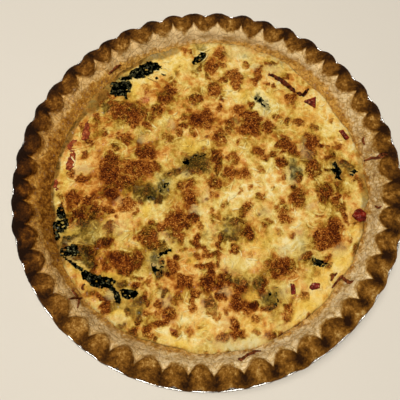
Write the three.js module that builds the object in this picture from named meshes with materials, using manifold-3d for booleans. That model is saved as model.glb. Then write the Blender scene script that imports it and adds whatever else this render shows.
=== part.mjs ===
// A quiche in its foil pie tin: a pastry case with a pinched, fluted rim, a set filling of egg and
// cheese, and on top wilted spinach, red pepper, ham and one curled strip of onion.
// Millimetres, +Z up. The origin is the middle of the tin's underside.
import * as THREE from 'three';
import { mergeVertices } from 'three/addons/utils/BufferGeometryUtils.js';
import Module from 'manifold-3d';

const wasm = await Module();
wasm.setup();

// ---- Driving dimensions -------------------------------------------------------------------------

const CLEARANCE = 0.35; // between pieces that lie on each other

// Foil tin of the 9 inch pie size.
const RIM_RADIUS = 114.5;
const BASE_RADIUS = 87;
const FLANGE_WIDTH = 7;
const FLANGE_HEIGHT = 29.3; // the flange's upper face
const FOIL = 0.6;
const BEAD_RADIUS = 0.8;
const TIN_COLUMNS = 92;

// Pastry case.
const PASTRY_BASE = 4.4; // thickness under the filling
const FLUTES = 46;
const FLUTE_STEPS = 6; // mesh columns in each flute
const FIRST_PINCH = THREE.MathUtils.degToRad(1.1);
const PINCH_OUTER_RADIUS = 113.9; // the rim's outer edge where it is pushed outwards
const LOBE_OUTER_RADIUS = 111.2; // and where it is pressed inwards, between two fingers
const PINCH_INNER_RADIUS = 106;
const LOBE_INNER_RADIUS = 101;
const RIM_TOP = 35;
const NECK_HEIGHT = 29.5; // where the smooth inner wall turns into flutes
const NECK_RADIUS = 100;

// Filling.
const FILL_RADIUS = 96.5; // mean radius where the filling meets the wall
const FILL_EDGE_HEIGHT = 21.5;
const FILL_RISE = 2.6; // the middle stands this much above the edge
const FILL_TILT = 0.8; // and the back edge this much above the mean
const LUMP = 0.45;
const FILL_COLUMNS = 64;
const FILL_RINGS = 11;

// ---- Small helpers ------------------------------------------------------------------------------

const { degToRad, lerp } = THREE.MathUtils;

// A repeatable uneven number from -1 to 1 for each whole number and seed.
function uneven(index, seed) {
  const value = Math.sin(index * 12.9898 + seed * 78.233) * 43758.5453;
  return 2 * (value - Math.floor(value)) - 1;
}

// Closes rings of equal length into one body. The first and last ring are single points.
function closeRings(rings) {
  const first = rings[0][0];
  const last = rings[rings.length - 1][0];
  const middle = rings.slice(1, -1);
  const columns = middle[0].length;
  const positions = [...first, ...middle.flat(2), ...last];
  const at = (ring, column) => 1 + ring * columns + (column % columns);
  const end = 1 + middle.length * columns;
  const index = [];
  for (let column = 0; column < columns; column += 1) {
    index.push(0, at(0, column + 1), at(0, column));
    for (let ring = 0; ring + 1 < middle.length; ring += 1) {
      const a = at(ring, column);
      const b = at(ring, column + 1);
      const c = at(ring + 1, column + 1);
      const d = at(ring + 1, column);
      index.push(a, b, c, a, c, d);
    }
    index.push(end, at(middle.length - 1, column), at(middle.length - 1, column + 1));
  }
  const geometry = new THREE.BufferGeometry();
  geometry.setAttribute('position', new THREE.Float32BufferAttribute(positions, 3));
  geometry.setIndex(index);
  return geometry;
}

function polar(radius, angle, z) {
  return [radius * Math.cos(angle), radius * Math.sin(angle), z];
}

function toSolid(geometry) {
  const bare = geometry.clone();
  bare.deleteAttribute('normal');
  bare.deleteAttribute('uv');
  const merged = mergeVertices(bare, 1e-4);
  return new wasm.Manifold(new wasm.Mesh({
    numProp: 3,
    vertProperties: new Float32Array(merged.attributes.position.array),
    triVerts: new Uint32Array(merged.index.array),
  }));
}

function toGeometry(solid) {
  const mesh = solid.getMesh();
  const geometry = new THREE.BufferGeometry();
  geometry.setAttribute('position', new THREE.BufferAttribute(mesh.vertProperties, 3));
  geometry.setIndex(new THREE.BufferAttribute(mesh.triVerts, 1));
  return geometry;
}

// ---- Foil tin: one sheet turned round the axis, its edge rolled into a bead ---------------------

function foilTin() {
  const wallTop = RIM_RADIUS - FLANGE_WIDTH;
  const sheet = 1.75 * FOIL; // the sloping wall measured level
  const beadMiddle = FLANGE_HEIGHT + BEAD_RADIUS / 4;
  const profile = [
    [0, 0],
    [BASE_RADIUS, 0],
    [wallTop + FOIL, FLANGE_HEIGHT - FOIL],
  ];
  for (let turn = -120; turn <= 120; turn += 60) {
    const angle = degToRad(turn);
    profile.push([
      RIM_RADIUS - BEAD_RADIUS + BEAD_RADIUS * Math.cos(angle),
      beadMiddle + BEAD_RADIUS * Math.sin(angle),
    ]);
  }
  profile.push([RIM_RADIUS - 2 * BEAD_RADIUS, FLANGE_HEIGHT]);
  profile.push([wallTop, FLANGE_HEIGHT]);
  profile.push([BASE_RADIUS - sheet + FOIL / 2, FOIL]);
  profile.push([0, FOIL]);
  const points = profile.map(([r, z]) => new THREE.Vector2(r, z));
  const turned = new THREE.LatheGeometry(points, TIN_COLUMNS);
  return turned.rotateX(Math.PI / 2);
}

// ---- Pastry case --------------------------------------------------------------------------------

// Radius of the line where the filling meets the wall: a hand-pressed, slightly uneven round.
function fillRadius(angle) {
  return FILL_RADIUS
    + 1.2 * Math.cos(angle + degToRad(27))
    + 1.6 * Math.cos(2 * angle - degToRad(144))
    + 1.2 * Math.cos(3 * angle + degToRad(126));
}

const CORNER_HEIGHT = FOIL + CLEARANCE + PASTRY_BASE;
const CORNER_INSET = 11.5; // the bottom corner lies this far inside the filling's edge

// The smooth inner wall, from the bottom corner up to the neck.
function wallRadius(angle, z) {
  const edge = fillRadius(angle);
  if (z < FILL_EDGE_HEIGHT) {
    const share = (FILL_EDGE_HEIGHT - z) / (FILL_EDGE_HEIGHT - CORNER_HEIGHT);
    return lerp(edge, edge - CORNER_INSET, share);
  }
  return lerp(edge, NECK_RADIUS, (z - FILL_EDGE_HEIGHT) / (NECK_HEIGHT - FILL_EDGE_HEIGHT));
}

// One column of the case: its angle, its outside and its inside, both as [radius, height] pairs.
function caseColumn(column) {
  const flute = Math.floor(column / FLUTE_STEPS);
  const share = (column % FLUTE_STEPS) / FLUTE_STEPS; // 0 at a pinch, 0.5 at the lobe after it
  const pinch = share < 0.5 ? flute : (flute + 1) % FLUTES;
  const outward = Math.abs(Math.cos(Math.PI * share)); // round at a pinch, pointed at a lobe
  const inward = Math.abs(Math.sin(Math.PI * share)); // round at a lobe, pointed at a pinch
  const turn = column / (FLUTES * FLUTE_STEPS);
  const drift = 0.05 * Math.sin(10 * Math.PI * turn) + 0.05 * Math.sin(26 * Math.PI * turn + 1);
  const angle = FIRST_PINCH + 2 * Math.PI * (turn + drift / FLUTES);

  const bump = PINCH_OUTER_RADIUS + 0.3 * uneven(pinch, 1);
  const valley = LOBE_OUTER_RADIUS + 0.4 * uneven(flute, 2);
  const notch = PINCH_INNER_RADIUS + 0.7 * uneven(pinch, 3);
  const lobe = LOBE_INNER_RADIUS + 0.5 * uneven(flute, 4);
  const outer = lerp(valley, bump, outward);
  const inner = lerp(notch, lobe, inward);
  const top = RIM_TOP + 0.6 * uneven(pinch, 5) * outward + 0.4 * uneven(flute, 6) * inward;

  const wallTop = RIM_RADIUS - FLANGE_WIDTH;
  const onFlange = FLANGE_HEIGHT + CLEARANCE;
  const outside = [
    [BASE_RADIUS - 1, FOIL + CLEARANCE],
    [wallTop - 0.5, onFlange - 0.1],
    [Math.min(outer - 1.2, RIM_RADIUS - 2.3), onFlange],
    [outer, onFlange + 1.8],
    [outer - 0.9, top - 1.5],
    [lerp(inner, outer, 0.55), top],
  ];
  const inside = [
    [fillRadius(angle) - CORNER_INSET, CORNER_HEIGHT],
    [fillRadius(angle), FILL_EDGE_HEIGHT],
    [NECK_RADIUS + 2.4 * (1 - inward), NECK_HEIGHT],
    [inner, top - 2.8],
    [inner + 1.3, top - 0.8],
    [lerp(inner, outer, 0.55), top],
  ];
  return { angle, outside, inside };
}

const caseColumns = Array.from({ length: FLUTES * FLUTE_STEPS }, (_, column) => caseColumn(column));

function pastryCase() {
  const ring = (pick) => caseColumns.map((column) => {
    const [radius, z] = pick(column);
    return polar(radius, column.angle, z);
  });
  const rings = [[[0, 0, FOIL + CLEARANCE]]];
  const crest = caseColumns[0].outside.length - 1;
  for (let step = 0; step <= crest; step += 1) {
    rings.push(ring((column) => column.outside[step]));
  }
  for (let step = crest - 1; step >= 0; step -= 1) {
    rings.push(ring((column) => column.inside[step]));
  }
  rings.push([[0, 0, CORNER_HEIGHT]]);
  return closeRings(rings);
}

// Height of the case's inside at a radius and an angle, read along the nearest column.
function insideHeight(radius, angle) {
  const away = (column) => Math.abs(Math.sin((column.angle - angle) / 2));
  const nearest = caseColumns.reduce((best, column) => (away(column) < away(best) ? column : best));
  const chain = nearest.inside;
  const step = Math.max(1, chain.findIndex(([r]) => r > radius));
  const [[r0, z0], [r1, z1]] = [chain[step - 1], chain[step]];
  return lerp(z0, z1, (radius - r0) / (r1 - r0));
}

// ---- Filling ------------------------------------------------------------------------------------

// Height of the filling's top: a low dome, a little higher at the back, with soft lumps.
function fillHeight(x, y) {
  const share = Math.hypot(x, y) / FILL_RADIUS;
  const lumps = Math.sin(x / 5.1 + 1) * Math.sin(y / 4.6)
    + 0.7 * Math.sin((x + y) / 6.3 + 2) * Math.sin((x - y) / 7.7);
  const edge = FILL_EDGE_HEIGHT + FILL_TILT * (y / FILL_RADIUS);
  return edge + FILL_RISE * (1 - share ** 2) + LUMP * lumps;
}

function filling() {
  const angles = Array.from({ length: FILL_COLUMNS }, (_, i) => (2 * Math.PI * i) / FILL_COLUMNS);
  const floor = CORNER_HEIGHT + CLEARANCE;
  const rings = [[[0, 0, floor]]];
  rings.push(angles.map((angle) => polar(wallRadius(angle, floor) - 1.5 * CLEARANCE, angle, floor)));
  for (let step = FILL_RINGS; step > 0; step -= 1) {
    rings.push(angles.map((angle) => {
      const edge = fillRadius(angle);
      const brink = fillHeight(edge * Math.cos(angle), edge * Math.sin(angle));
      const radius = (wallRadius(angle, brink) - 1.5 * CLEARANCE) * (step / FILL_RINGS);
      return polar(radius, angle, fillHeight(radius * Math.cos(angle), radius * Math.sin(angle)));
    }));
  }
  rings.push([[0, 0, fillHeight(0, 0)]]);
  return closeRings(rings);
}

const fillingGeometry = filling();
const fillingLifted = toSolid(fillingGeometry).translate(0, 0, CLEARANCE);

// A topping is modelled sunk a little way into the filling, and then cut to lie on it.
function layOnFilling(geometries) {
  const [first, ...others] = geometries.map(toSolid);
  const whole = others.reduce((sum, solid) => sum.add(solid), first);
  return toGeometry(whole.subtract(fillingLifted));
}

const SUNK = 0.7; // how far a topping reaches into the filling before the cut
const WALL_MARGIN = 2.2; // between a topping and the line where the filling meets the wall

// Keeps a point of a topping off the pastry wall.
function insideWall(x, y) {
  const radius = Math.hypot(x, y);
  const limit = fillRadius(Math.atan2(y, x)) - WALL_MARGIN;
  const shrink = radius > limit ? limit / radius : 1;
  return [x * shrink, y * shrink];
}

// ---- Leaves and strips of ham: thin wavy ribbons, both faces on the same grid -------------------

function ribbon({ spine, width, thickness, ruffle, ragged, seed }) {
  const curve = new THREE.CatmullRomCurve3(spine.map(([x, y]) => new THREE.Vector3(x, y, 0)));
  const along = Math.max(4, Math.round(curve.getLength() / 3.2));
  const across = width > 5 ? 3 : 2;
  const upper = [];
  const lower = [];
  for (let i = 0; i <= along; i += 1) {
    const t = i / along;
    const middle = curve.getPointAt(t);
    const tangent = curve.getTangentAt(t);
    const full = Math.sqrt(Math.sin(Math.PI * lerp(0.09, 0.91, t)));
    for (let j = 0; j <= across; j += 1) {
      const side = (2 * j) / across - 1;
      const reach = (width / 2) * side * full * (1 + ragged * uneven(i * 7 + j, seed));
      const [x, y] = insideWall(middle.x - tangent.y * reach, middle.y + tangent.x * reach);
      const fold = ruffle * (0.5 + 0.5 * uneven(i * 5 + j * 3, seed + 1));
      upper.push([x, y, fillHeight(x, y) + CLEARANCE + thickness + fold]);
      lower.push([x, y, fillHeight(x, y) - SUNK]);
    }
  }
  const columns = across + 1;
  const count = upper.length;
  const index = [];
  const quad = (a, b, c, d) => index.push(a, b, c, a, c, d);
  for (let i = 0; i < along; i += 1) {
    for (let j = 0; j < across; j += 1) {
      const a = i * columns + j;
      const [b, c, d] = [a + columns, a + columns + 1, a + 1];
      quad(a, b, c, d);
      index.push(count + a, count + c, count + b, count + a, count + d, count + c);
    }
    const left = i * columns;
    const right = left + across;
    quad(left, left + count, left + columns + count, left + columns);
    quad(right, right + columns, right + columns + count, right + count);
  }
  for (let j = 0; j < across; j += 1) {
    const end = along * columns + j;
    quad(j, j + 1, j + 1 + count, j + count);
    quad(end, end + count, end + 1 + count, end + 1);
  }
  const geometry = new THREE.BufferGeometry();
  geometry.setAttribute('position', new THREE.Float32BufferAttribute([...upper, ...lower].flat(), 3));
  geometry.setIndex(index);
  return geometry;
}

const LEAF = { thickness: 0.9, ruffle: 1.1, ragged: 0.22 };
const HAM = { thickness: 0.8, ruffle: 0.6, ragged: 0.15 };

// Each leaf is one or more ribbons: the line along its middle, and its width.
const LEAVES = {
  spinach_back_left: [{ spine: [[-41, 84], [-31, 81.5], [-20, 77.5]], width: 9 }],
  spinach_rim_left: [{ spine: [[-54, 72], [-47, 69], [-40, 63]], width: 12 }],
  spinach_back: [{ spine: [[0, 83], [5, 86.5], [11, 90]], width: 7 }],
  spinach_left_upper: [{ spine: [[-87, -2.5], [-88, -10]], width: 5 }],
  spinach_left_lower: [{ spine: [[-83, -14], [-86.5, -18.5], [-87.5, -25]], width: 7.5 }],
  spinach_left_fold: [{ spine: [[-85.5, -35.5], [-79, -36], [-69.5, -40.5]], width: 9 }],
  spinach_strand: [
    { spine: [[-77, -43.5], [-71, -50], [-62, -53], [-54, -57], [-49, -62]], width: 6.5 },
    { spine: [[-59, -54], [-58, -61], [-55.5, -67]], width: 5.5 },
  ],
  spinach_curl: [{ spine: [[-23, -37], [-31, -38], [-35.5, -45], [-33, -51]], width: 6.5 }],
  spinach_middle: [{ spine: [[-13, 17], [-8, 13.5], [-2, 8.5]], width: 8 }],
  spinach_back_right: [{ spine: [[36.5, 55], [41.5, 50.5], [47, 44.5]], width: 7 }],
  spinach_right: [{ spine: [[79, 7], [80.5, -1], [83, -9]], width: 7.5 }],
  spinach_right_small: [{ spine: [[87, 0.5], [91, -4]], width: 5 }],
  spinach_front_right: [{ spine: [[54, -50], [61, -53.5], [67, -58]], width: 7 }],
  spinach_front: [{ spine: [[24, -65], [28.5, -70.5], [32, -76]], width: 8 }],
};

const HAM_STRIPS = {
  ham_left: [{ spine: [[-79.5, 37], [-81.5, 30], [-82.5, 22]], width: 5.5 }],
  ham_back_left: [{ spine: [[-72.5, 47.5], [-73.5, 37]], width: 4 }],
  ham_rim: [{ spine: [[-89, 14], [-89.6, 6.5]], width: 3.4 }],
};

// ---- Red pepper: small chunks with worn corners -------------------------------------------------

const PEPPERS = {
  pepper_wedge: { at: [73, 46.5], height: 2.2, corners: [[-4.6, 1], [3.4, 3], [1, -4]] },
  pepper_sliver: { at: [89, 22], height: 2, corners: [[-2.6, 3.2], [0.2, 3.4], [3, -2.4], [0.6, -3.2]] },
  pepper_front: {
    at: [42.4, -67.2], height: 1.9, corners: [[-0.4, 3.4], [1.6, 2.2], [1.4, -2.6], [-1.2, -3]],
  },
  pepper_front_right: {
    at: [55, -66.8], height: 1.9, corners: [[-3.4, -0.6], [-1, 1.8], [3.2, 1.4], [2.6, -1.4], [-1.6, -2]],
  },
};
const PEPPER_BEVEL = 0.45;

function pepperChunk({ at: [x, y], height, corners }) {
  const outline = new THREE.Shape(corners.map(([u, v]) => new THREE.Vector2(u, v)));
  const block = new THREE.ExtrudeGeometry(outline, {
    depth: height + SUNK - 2 * PEPPER_BEVEL,
    steps: 1,
    bevelEnabled: true,
    bevelSegments: 1,
    bevelSize: PEPPER_BEVEL,
    bevelOffset: -PEPPER_BEVEL,
    bevelThickness: PEPPER_BEVEL,
  });
  return block.translate(x, y, fillHeight(x, y) - SUNK + PEPPER_BEVEL);
}

const ROUND_PEPPER = { at: [85.4, -29], radius: 4.4, height: 2.3 };

function roundPepper({ at: [x, y], radius, height }) {
  const dome = new THREE.SphereGeometry(radius, 14, 8);
  dome.rotateX(Math.PI / 2).scale(1, 1, (height + SUNK) / (2 * radius));
  return dome.translate(x, y, fillHeight(x, y) + (height - SUNK) / 2);
}

// ---- Strips with a round section: the onion, and burnt shreds on the pastry ---------------------

function strip(points, thickness, sides) {
  const section = new THREE.Shape();
  for (let i = 0; i < sides; i += 1) {
    const angle = (2 * Math.PI * (i + 0.5)) / sides;
    const [u, v] = [(thickness / 2) * Math.cos(angle), (thickness / 2) * Math.sin(angle)];
    if (i === 0) section.moveTo(u, v);
    else section.lineTo(u, v);
  }
  const path = new THREE.CatmullRomCurve3(points);
  const steps = Math.max(2, Math.round(path.getLength() / 3));
  return new THREE.ExtrudeGeometry(section, { steps, extrudePath: path, bevelEnabled: false });
}

const ONION = {
  line: [[50, 69.5], [55, 64.5], [60, 58.5], [64.5, 53.8], [68, 52.8], [70.5, 55.5]],
  thickness: 2.4,
};

function onionStrip() {
  const points = ONION.line.map(([x, y]) => new THREE.Vector3(x, y, fillHeight(x, y) + 1.1));
  return strip(points, ONION.thickness, 8);
}

// Burnt shreds on the pastry, each a line of [radius, degrees] along the inside of the case.
const SHREDS = [
  [[97, 124.5], [97.3, 122], [97, 119.5]],
  [[98.4, -147.2], [99.2, -143.6], [101, -143.4]],
  [[99.2, -143.6], [99.6, -141.8], [101, -140.2]],
  [[99.8, -85.8], [98.8, -82], [99.4, -78.2]],
  [[98.4, 1], [101.5, 1], [107, 0.9]],
  [[101.5, 1], [103.5, 1.6], [106.5, 2.9]],
  [[99.6, 9.7], [99.1, 8.2], [99.3, 6.8]],
];
const SHRED_THICKNESS = 1.3;
// One shred lies half on the filling, clear above it, and runs up on to the pastry.
const BRIDGE_SHRED = { inner: [92, -43.2], outer: [100.2, -41.4] };

function shred(line) {
  const points = line.map(([radius, degrees]) => {
    const angle = degToRad(degrees);
    return new THREE.Vector3(...polar(radius, angle, insideHeight(radius, angle) + 0.1));
  });
  return strip(points, SHRED_THICKNESS, 6);
}

function bridgeShred() {
  const above = CLEARANCE + 0.55 * SHRED_THICKNESS;
  const [r0, a0] = [BRIDGE_SHRED.inner[0], degToRad(BRIDGE_SHRED.inner[1])];
  const [r1, a1] = [BRIDGE_SHRED.outer[0], degToRad(BRIDGE_SHRED.outer[1])];
  const start = polar(r0, a0, 0);
  start[2] = fillHeight(start[0], start[1]) + above + 0.3;
  const end = polar(r1, a1, insideHeight(r1, a1));
  const middle = start.map((value, axis) => (value + end[axis]) / 2);
  middle[2] += 0.4;
  return strip([start, middle, end].map((p) => new THREE.Vector3(...p)), SHRED_THICKNESS, 6);
}

function caseWithShreds() {
  const shreds = [...SHREDS.map(shred), bridgeShred()].map(toSolid);
  const joined = shreds.reduce((sum, solid) => sum.add(solid), toSolid(pastryCase()));
  return toGeometry(joined);
}

// ---- Materials and the finished group -----------------------------------------------------------

const material = (color, roughness, metalness = 0) => (
  new THREE.MeshStandardMaterial({ color, roughness, metalness })
);
const foil = material(0xc9ccd0, 0.3, 1);
const pastry = material(0xb3813f, 0.8);
const custard = material(0xe0bc62, 0.55);
const spinach = material(0x1c2a16, 0.5);
const pepper = material(0x9a2417, 0.35);
const ham = material(0xa8523c, 0.5);
const onion = material(0x5a2416, 0.5);

const quiche = new THREE.Group();

function place(name, geometry, finish) {
  const mesh = new THREE.Mesh(geometry, finish);
  mesh.name = name;
  quiche.add(mesh);
}

place('foil_tin', foilTin(), foil);
place('pastry_case', caseWithShreds(), pastry);
place('filling', fillingGeometry, custard);

Object.entries(LEAVES).forEach(([name, parts], seed) => {
  place(name, layOnFilling(parts.map((part) => ribbon({ ...LEAF, ...part, seed }))), spinach);
});
Object.entries(HAM_STRIPS).forEach(([name, parts], seed) => {
  place(name, layOnFilling(parts.map((part) => ribbon({ ...HAM, ...part, seed: seed + 40 }))), ham);
});
Object.entries(PEPPERS).forEach(([name, chunk]) => {
  place(name, layOnFilling([pepperChunk(chunk)]), pepper);
});
place('pepper_round', layOnFilling([roundPepper(ROUND_PEPPER)]), pepper);
place('onion_strip', layOnFilling([onionStrip()]), onion);

export default quiche;
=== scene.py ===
# %% [markdown]
# # A quiche in its foil tin
#
# This lesson dresses a plain model of a baked quiche. The model comes as a fixed frame: its parts
# already have their real size and place, in metres, with +Z up and the origin in the middle of the
# tin's underside. We load it first, because the finished quiche has to fill the same box.

# %% Load the frame
import random
from math import atan2, cos, floor, hypot, pi, radians, sin

import bmesh
import bpy
import numpy as np
from mathutils import Matrix, Vector, noise


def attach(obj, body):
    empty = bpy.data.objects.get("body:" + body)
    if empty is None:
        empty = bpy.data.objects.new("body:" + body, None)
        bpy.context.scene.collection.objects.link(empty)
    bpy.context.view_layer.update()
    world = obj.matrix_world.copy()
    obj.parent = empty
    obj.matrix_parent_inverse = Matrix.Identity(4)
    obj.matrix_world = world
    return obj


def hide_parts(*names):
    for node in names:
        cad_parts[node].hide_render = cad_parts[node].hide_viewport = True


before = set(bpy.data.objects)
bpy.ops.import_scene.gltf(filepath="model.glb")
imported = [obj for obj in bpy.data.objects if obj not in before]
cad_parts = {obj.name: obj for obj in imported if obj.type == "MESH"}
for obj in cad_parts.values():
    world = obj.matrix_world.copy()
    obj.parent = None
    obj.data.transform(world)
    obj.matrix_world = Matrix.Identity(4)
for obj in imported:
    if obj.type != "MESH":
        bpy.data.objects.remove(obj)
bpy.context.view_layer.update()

MM = 0.001

# %% [markdown]
# ## The camera
#
# A quiche is best looked at from almost straight above, from arm's length. The camera could aim at
# an empty, but a lens, a place and three angles are enough, and they are also what we need to work
# the other way round: `seen_at` sends a line through a spot of the picture and finds where it meets
# a level plane. Later it places browned spots and leaves where the eye expects them. The picture is
# 400 steps wide and high, counted from its top left corner.

# %% Place the camera
PICTURE = 400
FOCAL_STEPS = 385
camera_data = bpy.data.cameras.new("camera")
camera_data.sensor_width = 36
camera_data.lens = camera_data.sensor_width * FOCAL_STEPS / PICTURE
camera_data.clip_start = 0.01
camera = bpy.data.objects.new("camera", camera_data)
bpy.context.scene.collection.objects.link(camera)
bpy.context.scene.camera = camera

CAMERA_PLACE = Vector((-4.29, -68.2, 246.9)) * MM
LOOK_DOWN = radians(75.385)
ROLL = radians(-6.1)
TOP_GUESS = 23.5 * MM  # about the height of the filling's top
tilt = Matrix.Rotation(pi / 2 - LOOK_DOWN, 4, "X")
camera.matrix_world = Matrix.Translation(CAMERA_PLACE) @ tilt @ Matrix.Rotation(ROLL, 4, "Z")


def seen_at(across, down, height):
    """The point at this height that shows at this spot of the picture."""
    middle = PICTURE / 2
    ray = Vector(((across - middle) / FOCAL_STEPS, (middle - down) / FOCAL_STEPS, -1))
    ray.rotate(camera.matrix_world.to_quaternion())
    return CAMERA_PLACE + ray * ((height - CAMERA_PLACE.z) / ray.z)


print("the middle of the picture is at", seen_at(PICTURE / 2, PICTURE / 2, TOP_GUESS))

# %% [markdown]
# ## Numbers that the parts share
#
# The tin, the pastry and the filling touch each other everywhere, so they share their measures.
# The filling's edge is a hand-pressed, slightly uneven round with one small bulge on the right, and
# its top a low dome with soft lumps. Writing both as short formulas means that a leaf, a shred or a
# strand of cheese can ask the same function where the surface is.

# %% Shared measures
RIM_RADIUS = 115 * MM
FLANGE_HEIGHT = 29.3 * MM
FLANGE_WIDTH = 7 * MM
BASE_RADIUS = 87 * MM
FOIL = 0.6 * MM
CLEARANCE = 0.35 * MM
PASTRY_BASE = 4.4 * MM
FLUTES = 46
FIRST_PINCH = radians(1.1)
FILL_RADIUS = 96.5 * MM
FILL_EDGE_HEIGHT = 21.5 * MM
DOME_HEIGHT = 2.6 * MM
BACK_RISE = 0.8 * MM
LUMP_HEIGHT = 0.45 * MM
CORNER_HEIGHT = FOIL + CLEARANCE + PASTRY_BASE
CORNER_INSET = 11.5 * MM
NECK_HEIGHT = 29.5 * MM
NECK_RADIUS = 100 * MM


def lerp(a, b, share):
    """The value that lies this share of the way from a to b."""
    return a + (b - a) * share


def ramp(value, start, end):
    """0 before start, 1 after end, and a soft step between. Works on numbers and on arrays."""
    share = np.clip((value - start) / (end - start), 0, 1)
    return share * share * (3 - 2 * share)


def uneven(index, seed):
    """A repeatable uneven number from -1 to 1 for each whole number and seed."""
    value = sin(index * 12.9898 + seed * 78.233) * 43758.5453
    return 2 * (value - floor(value)) - 1


def fill_radius(angle):
    """Where the filling meets the pastry wall."""
    bulge = 1.5 * np.exp(30 * (np.cos(angle + radians(8)) - 1))
    return FILL_RADIUS + MM * (
        1.2 * np.cos(angle + radians(27))
        + 1.6 * np.cos(2 * angle - radians(144))
        + 1.2 * np.cos(3 * angle + radians(126))
        + bulge
    )


def wall_radius(angle, z):
    """The smooth inner side of the pastry, from the bottom corner up to the neck."""
    edge = fill_radius(angle)
    below = edge - CORNER_INSET * (FILL_EDGE_HEIGHT - z) / (FILL_EDGE_HEIGHT - CORNER_HEIGHT)
    above = lerp(edge, NECK_RADIUS, (z - FILL_EDGE_HEIGHT) / (NECK_HEIGHT - FILL_EDGE_HEIGHT))
    return np.where(z < FILL_EDGE_HEIGHT, below, above)


def fill_height(x, y):
    """The filling's top: a low dome, a little higher at the back, with soft lumps."""
    u, v = x / MM, y / MM
    share = np.hypot(x, y) / FILL_RADIUS
    lumps = np.sin(u / 5.1 + 1) * np.sin(v / 4.6)
    lumps = lumps + 0.7 * np.sin((u + v) / 6.3 + 2) * np.sin((u - v) / 7.7)
    dome = BACK_RISE * y / FILL_RADIUS + DOME_HEIGHT * (1 - share**2)
    return FILL_EDGE_HEIGHT + dome + LUMP_HEIGHT * lumps


def on_filling(across, down):
    """The point of the filling's top that shows at this spot of the picture."""
    point = seen_at(across, down, TOP_GUESS)
    return seen_at(across, down, fill_height(point.x, point.y))


print("the filling's middle stands at", round(fill_height(0, 0) / MM, 2), "mm")

# %% [markdown]
# ## Colours and shader sums
#
# Nodes are easiest to read as sums. `Wire` wraps one output of a node, so that `1 - mask * 0.5`
# adds the Math nodes by itself. `Finish` is a material being mixed: its `node` method adds any
# other node from its type, its settings and its sockets. Colours are written as they look on a
# screen, in steps of 255, and turned into light values once.

# %% A small kit for materials


def tint(red, green, blue):
    """A colour as it looks on a screen, in steps of 255, as light values."""
    steps = [value / 255 for value in (red, green, blue)]
    light = [s / 12.92 if s <= 0.04045 else ((s + 0.055) / 1.055) ** 2.4 for s in steps]
    return (*light, 1.0)


class Wire:
    """One output of a node. Sums on it add Math nodes."""

    def __init__(self, finish, socket):
        self.finish = finish
        self.socket = socket

    def sum(self, operation, first, second):
        return self.finish.node("ShaderNodeMath", {"operation": operation}, {0: first, 1: second})

    def __add__(self, other):
        return self.sum("ADD", self, other)

    def __radd__(self, other):
        return self.sum("ADD", other, self)

    def __sub__(self, other):
        return self.sum("SUBTRACT", self, other)

    def __rsub__(self, other):
        return self.sum("SUBTRACT", other, self)

    def __mul__(self, other):
        return self.sum("MULTIPLY", self, other)

    def __rmul__(self, other):
        return self.sum("MULTIPLY", other, self)

    def __pow__(self, other):
        return self.sum("POWER", self, other)

    def soft_step(self, start, end):
        """0 up to start, 1 from end, soft between."""
        settings = {"interpolation_type": "SMOOTHSTEP"}
        sockets = {"Value": self, "From Min": start, "From Max": end}
        return self.finish.node("ShaderNodeMapRange", settings, sockets)


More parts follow.
